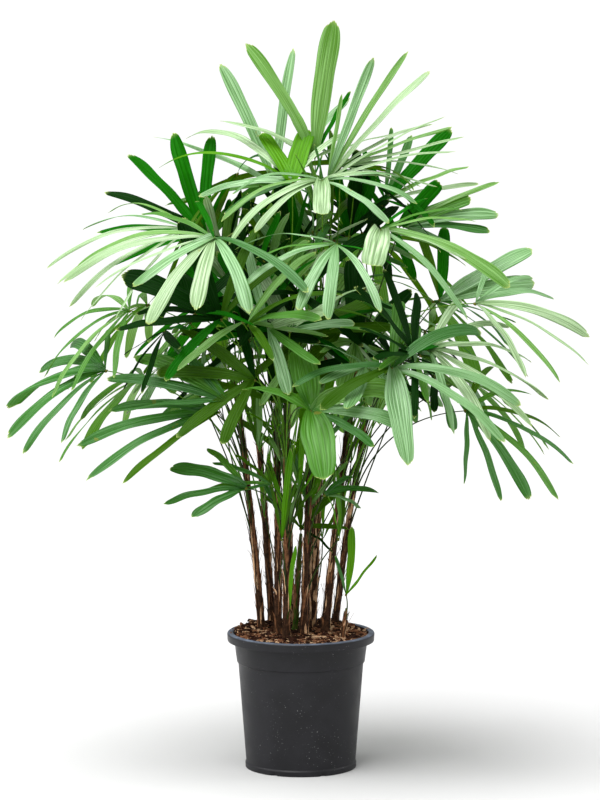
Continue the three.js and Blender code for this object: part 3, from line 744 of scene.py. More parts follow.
class Nodes:
    """Short hand for a material's nodes and links."""

    def __init__(self, name):
        self.material = bpy.data.materials.new(name)
        self.material.use_nodes = True
        self.tree = self.material.node_tree
        self.shader = self.tree.nodes["Principled BSDF"]
        self.output = self.tree.nodes["Material Output"]

    def fill(self, node, inputs):
        """Sets a node's inputs, or links them to the sockets given."""
        for key, value in inputs.items():
            if isinstance(value, bpy.types.NodeSocket):
                self.tree.links.new(value, node.inputs[key])
            else:
                node.inputs[key].default_value = value

    def add(self, kind, inputs=None, **settings):
        node = self.tree.nodes.new(f"ShaderNode{kind}")
        for key, value in settings.items():
            setattr(node, key, value)
        self.fill(node, inputs or {})
        return node.outputs

    def math(self, operation, first, second):
        return self.add("Math", {0: first, 1: second}, operation=operation)[0]

    def ramp(self, value, low, high, to_low=0, to_high=1):
        inputs = {"Value": value, "From Min": low, "From Max": high, "To Min": to_low, "To Max": to_high}
        return self.add("MapRange", inputs, interpolation_type="SMOOTHSTEP")[0]

    def mix(self, share, first, second):
        return self.add("Mix", {0: share, 6: first, 7: second}, data_type="RGBA")[2]

    def noise(self, vector, scale, detail=2, roughness=0.5):
        inputs = {"Vector": vector, "Scale": scale, "Detail": detail, "Roughness": roughness}
        return self.add("TexNoise", inputs)[0]

    def place(self):
        """The point itself, in the plant's frame."""
        return self.add("TexCoord")["Object"]

    def finish(self, colour, roughness, gloss=0.5, grain=None, bump=0, depth=0):
        looks = {"Base Color": colour, "Roughness": roughness, "Specular IOR Level": gloss}
        if grain is not None:
            looks["Normal"] = self.add("Bump", {"Strength": bump, "Distance": depth, "Height": grain})[0]
        self.fill(self.shader, looks)


# Leaf tones: the upper face's colour, the colour of the light that comes through, the gloss. They are partly
# painted light and shade: pale and silver paint sheen, deep paints the shade inside the crown, dark's pure
# green paints light through leaves high up, and young is the yellow green of young shoots, brightened as
# painted light.
LEAF_TONES = {
    "deep": ((5, 42, 0), (9, 54, 0), 0.02),
    "dark": ((14, 92, 0), (32, 122, 0), 0.02),
    "olive": ((48, 86, 0), (84, 138, 0), 0.05),
    "blue": ((42, 98, 30), (66, 134, 14), 0.2),
    "mid": ((60, 114, 26), (92, 154, 10), 0.16),
    "bright": ((88, 136, 52), (102, 156, 30), 0.3),
    "silver": ((88, 134, 76), (98, 146, 64), 0.48),
    "pale": ((126, 156, 108), (130, 158, 100), 0.48),
    "young": ((72, 130, 0), (110, 172, 0), 0.06),
    "tip": ((160, 174, 96), (150, 170, 70), 0.15),
}
LEAF_GLOW = 0.26
BLEMISH = srgb(140, 124, 44)
DRY_END = srgb(160, 186, 104)

# Mottled looks: two tones, how fine their patches are, the roughness, and a stalk's finer grain.
MOTTLED = {
    "stalk_dark": ((30, 52, 10), (52, 72, 18), 60, 0.4, 0.2),
    "stalk_green": ((62, 112, 14), (98, 142, 30), 60, 0.4, 0.2),
    "hub_brown": ((70, 96, 22), (110, 96, 40), 90, 0.55),
    "bark_dark": ((40, 24, 14), (78, 52, 34), 160, 0.7),
    "bark_brown": ((104, 68, 44), (144, 98, 66), 160, 0.7),
    "bark_tan": ((192, 146, 108), (226, 186, 146), 120, 0.65),
    "bark_green": ((50, 84, 16), (80, 84, 30), 90, 0.55),
    "fibre": ((36, 22, 14), (88, 58, 38), 200, 0.8),
    "chip_dark": ((30, 15, 9), (62, 33, 21), 220, 0.9),
    "chip_red": ((104, 66, 44), (142, 98, 70), 220, 0.85),
    "chip_tan": ((180, 140, 108), (216, 180, 144), 220, 0.8),
    # The soil under the chips: its own dark colour, darkened further as painted shade in the gaps between
    # chips.
    "soil_bed": ((10, 5, 3), (28, 15, 10), 180, 0.95),
}
DRY_GLOSS = 0.12

PLASTIC_DARK = srgb(16, 16, 20)
PLASTIC_GREY = srgb(27, 27, 31)
DUST = srgb(150, 150, 150)
# Painted highlight: the rim's top is painted pale as if it caught the light from above. It fades in between
# these depths below the top.
PAINTED_RIM_HIGHLIGHT = srgb(112, 122, 142)
EDGE_DEPTHS = (0.0022, 0.0003)


def leaf_material(name, colour, glow, gloss):
    """A pleated leaf: painted shade in its grooves, painted sheen, fine veins along it, a soft gloss, and
    light through it.
    """
    nodes = Nodes(name)
    uv = nodes.add("UVMap", uv_map="across_along")[0]
    across, along, _ = nodes.add("SeparateXYZ", {0: uv})
    groove = nodes.ramp(nodes.math("PINGPONG", across, 0.5), 0, 0.16, 1, 0)
    streak = nodes.noise(nodes.add("Mapping", {"Vector": uv, "Scale": (3, 1.6, 1)})[0], 1, 3)
    vein = nodes.noise(nodes.add("Mapping", {"Vector": uv, "Scale": (9, 0.8, 1)})[0], 1)
    # Pale streaks, paler the glossier the tone: painted sheen.
    painted_sheen = (*(min(1, c * (1.3 + gloss) + 0.34 * gloss) for c in colour[:3]), 1)
    tone = nodes.mix(nodes.ramp(streak, 0.38, 0.66), colour, painted_sheen)
    # Darker grooves: painted shade in the creases of the pleats.
    tone = nodes.mix(nodes.math("MULTIPLY", groove, 0.62), tone, shaded(colour, 0.3, 0.3, 0.3))
    # Root and tip painted darker and greener, less so in the streaks: painted shade where the painted sheen
    # fades.
    ends = nodes.math("ADD", nodes.ramp(along, 0, 0.3, 0.7, 0), nodes.ramp(along, 0.6, 0.95, 0, 0.5))
    ends = nodes.math("MULTIPLY", ends, nodes.ramp(streak, 0.3, 0.7, 1, 0.4))
    tone = nodes.mix(ends, tone, shaded(colour, 0.45, 0.66, 0.25))
    tone = nodes.mix(nodes.ramp(nodes.noise(nodes.place(), 36), 0.74, 0.78, 0, 0.5), tone, BLEMISH)
    tone = nodes.mix(nodes.ramp(along, 0.93, 1, 0, 0.4), tone, DRY_END)
    grain = nodes.math("SUBTRACT", nodes.math("MULTIPLY", vein, 0.5), groove)
    nodes.finish(tone, nodes.ramp(streak, 0.3, 0.7, 0.27, 0.42), gloss, grain, 0.3, 0.0004)
    through = nodes.add("BsdfTranslucent", {"Color": glow})[0]
    both = nodes.add("MixShader", {0: LEAF_GLOW, 1: nodes.shader.outputs[0], 2: through})[0]
    nodes.fill(nodes.output, {"Surface": both})


def mottled_material(name, colour, other, scale, roughness, bump=0.4):
    """Two tones in soft patches, with a grain of the same pattern."""
    nodes = Nodes(name)
    patch = nodes.noise(nodes.place(), scale, 4, 0.6)
    grain = nodes.noise(nodes.place(), scale * 5, 3, 0.6)
    tone = nodes.mix(nodes.ramp(patch, 0.35, 0.65), colour, other)
    tone = nodes.mix(nodes.ramp(grain, 0.45, 0.7, 0, 0.45), tone, shaded(colour, 0.4, 0.4, 0.4))
    nodes.finish(tone, roughness, DRY_GLOSS, grain, bump, 0.0006)


def pot_material():
    """Dark recycled plastic: fine orange-peel, rubbed paler patches, dust specks and a painted highlight on
    the rim's top.
    """
    nodes = Nodes("pot_plastic")
    place = nodes.place()
    cloud = nodes.noise(place, 22, 3)
    specks = nodes.ramp(nodes.noise(place, 420, 1), 0.72, 0.78)
    dusty = nodes.math("MULTIPLY", nodes.ramp(nodes.noise(place, 14), 0.38, 0.58), 0.55)
    tone = nodes.mix(nodes.ramp(cloud, 0.35, 0.7), PLASTIC_DARK, PLASTIC_GREY)
    tone = nodes.mix(nodes.math("MULTIPLY", specks, dusty), tone, DUST)
    height = nodes.add("SeparateXYZ", {0: place})[2]
    # Painted highlight on the rim's top, broken up by noise.
    edge = nodes.ramp(height, *(POT_HEIGHT - depth for depth in EDGE_DEPTHS))
    painted_highlight = nodes.math("MULTIPLY", edge, nodes.ramp(nodes.noise(place, 60, 3), 0.3, 0.7, 0.4, 0.9))
    tone = nodes.mix(painted_highlight, tone, PAINTED_RIM_HIGHLIGHT)
    peel = nodes.noise(place, 900)
    nodes.finish(tone, nodes.ramp(cloud, 0.3, 0.7, 0.42, 0.55), 0.3, peel, 0.08, 0.0003)


def make_materials():
    for name, (colour, glow, gloss) in LEAF_TONES.items():
        leaf_material(f"leaf_{name}", srgb(*colour), srgb(*glow), gloss)
    for name, (colour, other, *rest) in MOTTLED.items():
        mottled_material(name, srgb(*colour), srgb(*other), *rest)
    pot_material()


# ---- fronds

TONES = list(LEAF_TONES)
LEAF_PAINTS = [f"leaf_{tone}" for tone in TONES]
TIP_ROWS = 2
# Tones dealt to the fans behind and inside the crown, with painted light among them: deep paints shade,
# silver and pale paint sheen.
BACK_TONES = ("dark", "blue", "mid")
INNER_TONES = ("deep", "deep", "dark", "dark", "olive", "mid", "bright", "bright", "silver", "silver",
               "pale")
NEIGHBOUR_TONE_SHARE = 0.5
# Below this height no light comes through the leaves from behind, and none is pure green.
BACKLIT_ABOVE = 0.78

# Turns and bends that an inner leaflet tries, to find room.
INNER_TRIES = ((0, 0), (9, 0.2), (-9, 0.2), (16, -0.2), (-16, 0.4))
# Leaf pieces: each takes so many fans in turn, to stay a mesh of moderate size.
FANS_PER_PIECE = 12

# A fine stalk's radii as shares of the frame's. Its sheath runs down the cane, less far from a
# low seat, half sunk in the bark and a little thicker than the stalk.
STALK_FINENESS = 0.46
STALK_ROWS = 20
SHEATH_ROWS = 9
SHEATH_RUN = 0.13
LOW_SEAT = 0.4
LOW_SEAT_RANGE = 0.2
SHEATH_SINK = 0.8
SHEATH_THICKNESS = (1.3, 1.05)
SHEATH_LEAST = 0.1
SHEATH_ENDS = (0.02, 0.04)
BLEND_RUN = 0.3
STALK_SIDES = 7
HUB_ROWS = 8
HUB_SIDES = 10
HUB_END = 0.0004
HUB_RADIUS = 0.0016
RADIUS_PER_LEAFLET = 0.0003
HUB_HALF_HEIGHT = 0.0022
HUB_SINK = 0.0012
GREEN_STALKS_ABOVE = 0.72
GREEN_STALK_SHARE = 0.7
PATTERN_STEP = 8
PATTERN_REACH = 977
# The core under the sheath strips is slimmer than the frame's cane.
BARK_SLIMMING = 0.62


def ladder_tone(tone, dice):
    """A fan's tone, or now and then one next to it, from deep to pale."""
    if dice.roll() > NEIGHBOUR_TONE_SHARE:
        return tone
    step = TONES.index("mid" if tone == "young" else tone) + dice.pick((-2, -1, 1))
    return TONES[min(max(step, 0), TONES.index("pale"))]


def leaflet_tone(fan, plan, tone, dice):
    """The tone the photograph shows on a leaflet, or else one from the ladder."""
    own_tone = seen(fan, plan).tone or ladder_tone(tone, dice)
    if own_tone == "dark" and fan.hub[2] < BACKLIT_ABOVE:
        return "blue"
    return own_tone


def stalk_grid(cane, curve, corners):
    """A round stalk along the frame's line, its sheath running down the cane from where it leaves."""
    shares = np.linspace(0, 1, STALK_ROWS)
    free, _ = bezier(curve, shares)
    stem = cane_curve(cane)
    top = share_at(stem, curve[0][2])
    down = SHEATH_RUN * np.clip((curve[0][2] - LOW_SEAT) / LOW_SEAT_RANGE, SHEATH_LEAST, 1) / rise_of(stem)
    run = np.linspace(max(top - down, SHEATH_ENDS[0]), max(top, SHEATH_ENDS[1]), SHEATH_ROWS)[:-1]
    core, _ = bezier(stem, run)
    out = level_way(curve[0], curve[2])
    hugging = core + out * (cane_radius(cane, run) * SHEATH_SINK * BARK_SLIMMING)[:, None]
    blend = np.clip(shares / BLEND_RUN, 0, 1)[:, None]
    free = free + out * cane_radius(cane, top) * SHEATH_SINK * BARK_SLIMMING * (1 - blend) ** 2
    fine = stalk_radius(shares) * STALK_FINENESS
    clasp = np.linspace(*SHEATH_THICKNESS, len(run)) * fine[0]
    return tube_along(np.concatenate([hugging, free]), np.concatenate([clasp, fine]), corners)


def hub_grid(fan):
    """The small swelling, flat in the fan's plane, where the leaflets' roots meet."""
    face, up, right = fan_axes(fan)
    rise = np.linspace(-1, 1, HUB_ROWS)
    radii = (HUB_RADIUS + RADIUS_PER_LEAFLET * fan.leaflets) * np.sqrt(np.clip(1 - rise ** 2, HUB_END, 1))
    centres = np.array(fan.hub) + face * (rise * HUB_HALF_HEIGHT - HUB_SINK)[:, None]
    right, up = (np.broadcast_to(way, centres.shape) for way in (right, up))
    return tube(centres, right, up, radii, HUB_SIDES)


class Crowd:
    """Leaves that have their place, so that a new one can be kept from cutting through them."""

    def __init__(self):
        self.members = []

    @staticmethod
    def outline(grid):
        """A few of a leaflet's faces, but for those at its root, and the box round them."""
        coarse = grid[::3, ::(grid.shape[1] - 1) // 2]
        faces = joined(numbered(coarse)[1:]).tolist()
        points = coarse.reshape(-1, 3)
        return BVHTree.FromPolygons(points.tolist(), faces), points.min(0), points.max(0)

    def add(self, grid):
        self.members.append(self.outline(grid))

    def blocks(self, grid):
        tree, low, high = self.outline(grid)
        return any((low < other_high).all() and (high > other_low).all() and tree.overlap(other)
                   for other, other_low, other_high in self.members)


def add_leaflet(leaves, grid, uv, tone):
    """A leaflet in its tone, dry at its tip, with a part of the leaf pattern to itself."""
    pattern_place = PATTERN_STEP * leaves.count % PATTERN_REACH
    paints = np.full((grid.shape[0] - 1, grid.shape[1] - 1), TONES.index(tone))
    paints[-TIP_ROWS:] = TONES.index("tip")
    leaves.add_grid(grid, paints.ravel(), uv + np.array([pattern_place, 0]))


def add_stalk(stalks, fan, curve, dice):
    green = fan.hub[2] > GREEN_STALKS_ABOVE and dice.roll() < GREEN_STALK_SHARE
    paint = "stalk_green" if green else "stalk_dark"
    stalks.add_grid(stalk_grid(CANES[fan.cane], curve, STALK_SIDES), paint, closed=True)
    stalks.add_grid(hub_grid(fan), "hub_brown", closed=True)


def make_fronds():
    stalks = Batch("stalk_dark", "stalk_green", "hub_brown")
    crowd = Crowd()
    for first in range(0, len(FANS), FANS_PER_PIECE):
        leaves = Batch(*LEAF_PAINTS)
        group = FANS[first:first + FANS_PER_PIECE]
        for number, fan in enumerate(group, first):
            dice = Dice(SEEDS["frond"] * (number + 1))
            curve, leaflets = frond_as_built(fan, number)
            add_stalk(stalks, fan, curve, dice)
            tone = fan.tone or dice.pick(BACK_TONES)
            for plan, spine in leaflets:
                grid, uv = leaflet_grid(fan, plan, spine, dice)
                crowd.add(grid)
                add_leaflet(leaves, grid, uv, leaflet_tone(fan, plan, tone, dice))
        nodes = [f"frond_{fan.name}" for fan in group]
        leaves.build(f"leaflets_{first // FANS_PER_PIECE + 1}", "leaf", nodes)
    make_inner_fronds(stalks, crowd)
    add_cut_stalks(stalks)
    stalks.build("stalks", "leaf")


def inner_leaflet(fan, plan, crowd, dice):
    """An inner leaflet in the first place where it has room, or None."""
    for turn, bend in INNER_TRIES:
        grid, uv = leaflet_grid(fan, plan, leaflet_spine(fan, plan, turn, bend), dice)
        if not crowd.blocks(grid):
            crowd.add(grid)
            return grid, uv
    return None


def make_inner_fronds(stalks, crowd):
    """Smaller fans within the reach of the large ones, their leaflets kept clear of the rest."""
    fans = [*skirt_fans(), *inner_fans(), *(Fan(*row) for row in EXTRA_FANS), *shoot_fans()]
    halves = (Batch(*LEAF_PAINTS), Batch(*LEAF_PAINTS))
    for number, fan in enumerate(fans):
        leaves = halves[number >= len(fans) / 2]
        dice = Dice(SEEDS["inner_leaves"] + SEEDS["frond"] * number)
        dealt = None if fan.tone == "young" else dice.pick(INNER_TONES)
        tone = fan.tone or dealt
        before = leaves.count
        for plan in leaflet_plans(fan, number + INNER_NUMBERS_FROM):
            found = inner_leaflet(fan, plan, crowd, dice)
            if found:
                add_leaflet(leaves, *found, leaflet_tone(fan, plan, tone, dice))
        if leaves.count > before:
            add_stalk(stalks, fan, stalk_curve(fan), dice)
    for part, leaves in enumerate(halves, 1):
        leaves.build(f"leaflets_inner_{part}", "leaf")


# Bare stalks of fronds cut away: how many, and how high, how long and how far out they lean.
CUT_STALKS = 40
CUT_SEATS = (0.34, 0.62)
CUT_LENGTHS = (0.07, 0.24)
CUT_LEANS = (0.05, 0.35)
CUT_STALK_SIDES = 6


def add_cut_stalks(stalks):
    for index in range(CUT_STALKS):
        dice = Dice(SEEDS["cut_stalk"] * (index + 1))
        cane = dice.pick(TALL_CANES)
        stem = cane_curve(CANES[cane])
        seat, rise = bezier(stem, share_at(stem, below_top(cane, dice.between(*CUT_SEATS))))
        out = polar(1, GOLDEN_ANGLE * index, 0)
        length = dice.between(*CUT_LENGTHS)
        end = seat + unit(rise + out * dice.between(*CUT_LEANS)) * length
        curve = np.array([seat, seat + rise * length / 2, end])
        stalks.add_grid(stalk_grid(CANES[cane], curve, CUT_STALK_SIDES), "stalk_dark", closed=True)


# ---- canes

CORE_SPREAD = 0.2
CANE_ROWS = 70
CANE_CORNERS = 20
# Ribs and knots of a core: how far round and along it they repeat, and how strong they are.
CORE_RELIEFS = ((3, 7, 14, 1), (1, 9, 45, 0.5))
# Strips and hairs on a cane of a certain height.
SHEATH_STRIPS = 190
FIBRES = 110
COUNTED_HEIGHT = 0.5
GREEN_FROM = (0.55, 0.85)
BORDER_RELIEF = 0.1
GREEN_CANE = 5
TAN_CANE = 7
BARK_TONES = ("bark_dark", "bark_dark", "bark_brown", "bark_brown", "bark_tan")
# Strips of sheath: short or long, lying close or standing off at the upper end.
SHORT_SHARE = 0.7
SHORT_STRIPS = (0.015, 0.05)
LONG_STRIPS = (0.05, 0.12)
STRIPS_CLOSE = (0, 0.002)
OFF_SHARE = 0.42
STRIPS_OFF = (0.003, 0.01)
STRIP_SEATS = (-0.0004, 0.0014)
STRIP_HALVES = (0.0006, 0.0028)
STRIP_BEND = -0.25
STRIP_WIND = 1.3
STRIP_LOWEST = -0.02
STRIP_ROWS = 7
STRIP_CURL = 2.5
STRIP_OUTLINE = (0.12, 0.86)
STRIP_TIP = 0.05
FIBRE_LENGTHS = (0.015, 0.06)
FIBRE_OFF_SHARE = 0.4
FIBRES_OFF = (0.003, 0.012)
FIBRE_CLOSE = 0.0005
FIBRE_SEAT = 0.0003
FIBRE_WIND = 3
FIBRE_ROWS = 8
FIBRE_TAPER = 0.6
FIBRE_RADIUS = 0.0007


def cane_frame(curve, share):
    centre, tangent = bezier(curve, share)
    side = unit(np.cross(tangent, np.array([0, 1, 0])))
    return centre, side, np.cross(side, tangent)


def core_radius(cane, share, relief=0):
    return cane_radius(cane, share) * (BARK_SLIMMING + CORE_SPREAD * (1 - share) + CORE_SPREAD * relief)


def core_relief(number, angle, share):
    return sum(strength * noise.noise(Vector((turns * cos(angle) + apart * number,
                                              turns * sin(angle), share * knots)))
               for turns, apart, knots, strength in CORE_RELIEFS)


def cane_core(cane, curve, green_from, number):
    """Core with lengthwise ribs and knots, and the paint of its faces: bark below, green above."""
    shares = np.linspace(0, 1, CANE_ROWS)
    centre, side, over = cane_frame(curve, shares)
    angles = angles_round(CANE_CORNERS)
    relief = np.array([[core_relief(number, angle, share) for angle in angles] for share in shares])
    radius = core_radius(cane, shares[:, None], relief)
    ring = side[:, None] * (np.cos(angles) * radius)[..., None]
    ring = ring + over[:, None] * (np.sin(angles) * radius)[..., None]
    border = green_from + BORDER_RELIEF * relief[:-1]
    return centre[:, None] + ring, np.where(shares[:-1, None] > border, 1, 0).ravel()


def hugging_line(cane, curve, shares, angles, stand_off):
    """Points that stand off a little from a cane's core, and the way out at each."""
    centre, side, over = cane_frame(curve, shares)
    out = side * np.cos(angles)[:, None] + over * np.sin(angles)[:, None]
    return centre + out * (core_radius(cane, shares) + stand_off)[:, None], out


def sheath_strip(cane, curve, dice):
    """A flat pointed strip of old leaf sheath that hugs the cane and lifts at its upper end."""
    lengths = SHORT_STRIPS if dice.roll() < SHORT_SHARE else LONG_STRIPS
    rise = dice.between(*lengths) / rise_of(curve)
    start = dice.between(STRIP_LOWEST, 1 - rise)
    steps = np.linspace(0, 1, STRIP_ROWS)
    shares = np.clip(start + rise * steps, 0, 1)
    angles = dice.between(0, 2 * pi) + dice.chance(STRIP_WIND) * steps
    strays = STRIPS_OFF if dice.roll() < OFF_SHARE else STRIPS_CLOSE
    stand_off = dice.between(*strays) * steps ** STRIP_CURL + dice.between(*STRIP_SEATS)
    line, out = hugging_line(cane, curve, shares, angles, stand_off)
    across = np.cross(unit(np.gradient(line, axis=0)), out)
    outline = np.sin(pi * (STRIP_OUTLINE[0] + STRIP_OUTLINE[1] * steps))
    half = dice.between(*STRIP_HALVES) * np.clip(outline, STRIP_TIP, 1)[:, None]
    bend = out * STRIP_BEND * half
    columns = [line - across * half + bend, line, line + across * half + bend]
    return np.stack(columns, axis=1), shares[STRIP_ROWS // 2]


def fibre_grid(cane, curve, dice):
    """A coarse hair of the sheath's net, winding round the cane, now and then standing off."""
    rise = dice.between(*FIBRE_LENGTHS) / rise_of(curve)
    start = dice.between(0, 1 - rise)
    steps = np.linspace(0, 1, FIBRE_ROWS)
    angles = dice.between(0, 2 * pi) + dice.chance(FIBRE_WIND) * steps
    stray = dice.between(*FIBRES_OFF) if dice.roll() < FIBRE_OFF_SHARE else FIBRE_CLOSE
    line, _ = hugging_line(cane, curve, start + rise * steps, angles, FIBRE_SEAT + stray * steps ** 2)
    return tube_along(line, FIBRE_RADIUS * (1 - FIBRE_TAPER * steps), 3)


def strip_tone(number, high, dice):
    upper = "bark_green" if dice.roll() < 0.5 else "bark_brown"
    lower = dice.pick(BARK_TONES)
    if number == TAN_CANE and dice.roll() < 0.5:
        lower = "bark_tan"
    return upper if high else lower


def make_canes():
    for number, cane in CANES.items():
        dice = Dice(SEEDS["cane"] * number)
        curve = cane_curve(cane)
        size = rise_of(curve) / COUNTED_HEIGHT
        green_from = 0 if number == GREEN_CANE else dice.between(*GREEN_FROM)
        bark = Batch("bark_dark", "bark_green", "bark_brown", "bark_tan", "fibre")
        bark.add_grid(*cane_core(cane, curve, green_from, number), closed=True)
        for _ in range(int(SHEATH_STRIPS * size)):
            grid, share = sheath_strip(cane, curve, dice)
            bark.add_grid(grid, strip_tone(number, share > green_from, dice))
        for _ in range(int(FIBRES * size)):
            bark.add_grid(fibre_grid(cane, curve, dice), "fibre", closed=True)
        bark.build(f"bark_{number:02d}", "cane", [f"cane_{number:02d}"])


# ---- pot

POT_CORNERS = 160
FILLET_STEPS = 5
AXIS_HOLE = 0.0005
NOTCHES_AT = (-118, -67, 62, 118, 180, 0)
NOTCH_HALF_WIDTH = 2.2
NOTCH_HEIGHT = 0.007
NOTCH_DEPTH = 0.004
FOOT_RADIUS = BASE_RADIUS + 0.0015
WAIST_HEIGHT = 0.012
WAIST_RADIUS = BASE_RADIUS + (BODY_RADIUS - BASE_RADIUS) * (WAIST_HEIGHT / STEP_HEIGHT) - 0.0006


def rounded(outline):
    """An outline of (radius, height, fillet) with its corners rounded by circular arcs."""
    points = []
    for index, (radius, height, fillet) in enumerate(outline):
        corner = np.array([radius, height])
        if fillet == 0:
            points.append(corner)
            continue
        to_before, to_after = (unit(np.array(outline[index + step][:2]) - corner) for step in (-1, 1))
        half_angle = acos(np.clip(to_before @ to_after, -1, 1)) / 2
        reach = fillet / tan(half_angle)
        middle = corner + unit(to_before + to_after) * fillet / sin(half_angle)
        first, last = corner + to_before * reach - middle, corner + to_after * reach - middle
        for step in np.linspace(0, 1, FILLET_STEPS):
            points.append(middle + unit(first * (1 - step) + last * step) * fillet)
    return np.array(points)


def lathe(profile, corners):
    angles = angles_round(corners)
    radius, height = profile[:, 0, None], profile[:, 1, None]
    return np.stack(np.broadcast_arrays(radius * np.cos(angles), radius * np.sin(angles), height), axis=-1)


def pot_profile():
    """Outside from the underside's middle up, over the rim, and down inside to the floor."""
    return rounded([
        (AXIS_HOLE, 0, 0),
        (FOOT_RADIUS, 0, 0.0015),
        (FOOT_RADIUS + 0.0004, 0.009, 0.0008),
        (WAIST_RADIUS, WAIST_HEIGHT, 0.002),
        (BODY_RADIUS, STEP_HEIGHT - 0.0006, 0.0012),
        (COLLAR_RADIUS, STEP_HEIGHT + 0.0012, 0.0012),
        (NECK_RADIUS, RIM_HEIGHT + 0.002, 0.002),
        (RIM_RADIUS - 0.001, RIM_HEIGHT, 0.0012),
        (RIM_RADIUS, POT_HEIGHT - 0.0002, 0.0034),
        (MOUTH_RADIUS, POT_HEIGHT, 0.0022),
        (MOUTH_RADIUS - 0.0006, RIM_HEIGHT + 0.005, 0.0016),
        (NECK_RADIUS - POT_WALL, RIM_HEIGHT + 0.001, 0.0016),
        (BODY_RADIUS - POT_WALL, STEP_HEIGHT, 0.002),
        (BASE_RADIUS - POT_WALL, POT_FLOOR, 0.003),
        (AXIS_HOLE, POT_FLOOR, 0),
    ])


def make_pot():
    grid = lathe(pot_profile(), POT_CORNERS)
    degrees = np.arange(POT_CORNERS) * 360 / POT_CORNERS
    for notch in NOTCHES_AT:
        apart = np.abs((degrees - notch + 180) % 360 - 180)
        cut = (apart < NOTCH_HALF_WIDTH)[None, :] & (grid[..., 2] < NOTCH_HEIGHT)
        cut &= np.hypot(grid[..., 0], grid[..., 1]) > BASE_RADIUS
        grid[cut, :2] *= 1 - NOTCH_DEPTH / BASE_RADIUS
    pot = Batch("pot_plastic")
    pot.add_grid(grid, "pot_plastic", closed=True)
    pot.build("nursery_pot", "pot", ["pot"])


# ---- soil

CHIPS = 3200
SOIL_HAIRS = 320
SPILT_CHIPS = 70
SPILT_FROM_TO = (60, 190)
SPILT_RADII = (MOUTH_RADIUS - 0.002, RIM_RADIUS - 0.005)
SOIL_REACH = MOUTH_RADIUS - 0.001
SOIL_BRIM = 0.2435
SOIL_HEAP = 0.007
HEAP_RUN = 0.08
HEAP_SLANT = 0.3
SOIL_MARGIN = 0.002
SOIL_RELIEF = 0.003
RELIEF_SCALE = 60
SOIL_SINK = 0.0015
BED_ROWS = 30
BED_CORNERS = 90
BED_GAP = 0.0004
CHIP_CUBE = np.array([(x, y, z) for z in (-1, 1) for y in (-1, 1) for x in (-1, 1)], float)
CHIP_FACES = ((0, 2, 3, 1), (4, 5, 7, 6), (0, 1, 5, 4), (2, 6, 7, 3), (0, 4, 6, 2), (1, 3, 7, 5))
CHIP_TONES = ("chip_dark", "chip_red", "chip_red", "chip_dark", "chip_tan", "chip_dark", "chip_dark",
              "chip_dark")
# Chips and hairs: how long, how far from level, how high they lie, and how thick a hair is.
CHIP_HALVES = (0.002, 0.009)
CHIP_WIDTHS = (0.1, 0.36)
CHIP_HEIGHTS = (0.06, 0.24)
CHIP_CORNERS = (0.55, 1.1)
CHIP_SLOPE = 0.8
CHIP_LIFTS = (0, 0.003)
SPILT_SIZE = 0.6
SPILT_SLOPE = 0.3
SPILT_LIFT = 0.0005
HAIR_TONES = ("chip_tan", "fibre")
HAIR_HALVES = (0.004, 0.013)
HAIR_BEND = 0.01
HAIR_ARCH = 0.0012
HAIR_SLOPE = 0.5
HAIR_LIFT = 0.002
HAIR_RADIUS = 0.00035
HAIR_ROWS = 6


def soil_height(x, y):
    """Height of the soil: nearly level in front, heaped against the wall at the back, uneven."""
    level = np.interp(hypot(x, y), (LEVEL_RADIUS, SOIL_REACH), (SOIL_TOP, SOIL_BRIM))
    heap = SOIL_HEAP * np.clip((y - HEAP_SLANT * x) / HEAP_RUN, 0, 1)
    return level + heap + SOIL_RELIEF * noise.noise(Vector((x, y, 0)) * RELIEF_SCALE) - SOIL_SINK


def turned(dice, flatness):
    """Axes of a chip that lies nearly flat, turned any way about the upright."""
    turn, pitch, roll = dice.between(0, 2 * pi), dice.chance(flatness), dice.chance(flatness)
    ahead = unit(np.array([cos(turn), sin(turn), tan(pitch)]))
    side = unit(np.array([-sin(turn), cos(turn), tan(roll)]))
    return ahead, side, unit(np.cross(ahead, side))


def on_soil(dice):
    radius = (SOIL_REACH - SOIL_MARGIN) * sqrt(dice.roll())
    turn = dice.between(0, 2 * pi)
    x, y = radius * cos(turn), radius * sin(turn)
    return np.array([x, y, soil_height(x, y)])


def on_rim(dice):
    """A place on the rim's flat top at the back and left, where chips have spilt."""
    return polar(dice.between(*SPILT_RADII), dice.between(*SPILT_FROM_TO), POT_HEIGHT)


def make_soil_bed():
    radii = np.linspace(AXIS_HOLE, SOIL_REACH, BED_ROWS)[::-1]
    top = lathe(np.stack([radii, np.zeros(BED_ROWS)], axis=1), BED_CORNERS)
    for point in top.reshape(-1, 3):
        point[2] = soil_height(point[0], point[1])
    wall = POT_WALL + BED_GAP
    below = lathe(np.array([[AXIS_HOLE, POT_FLOOR + SEAT_GAP],
                            [BASE_RADIUS - wall, POT_FLOOR + SEAT_GAP],
                            [BODY_RADIUS - wall, STEP_HEIGHT],
                            [NECK_RADIUS - wall, RIM_HEIGHT]]), BED_CORNERS)
    bed = Batch("soil_bed")
    bed.add_grid(np.concatenate([below, top]), "soil_bed", closed=True)
    bed.build("soil_bed", "soil", ["soil"])


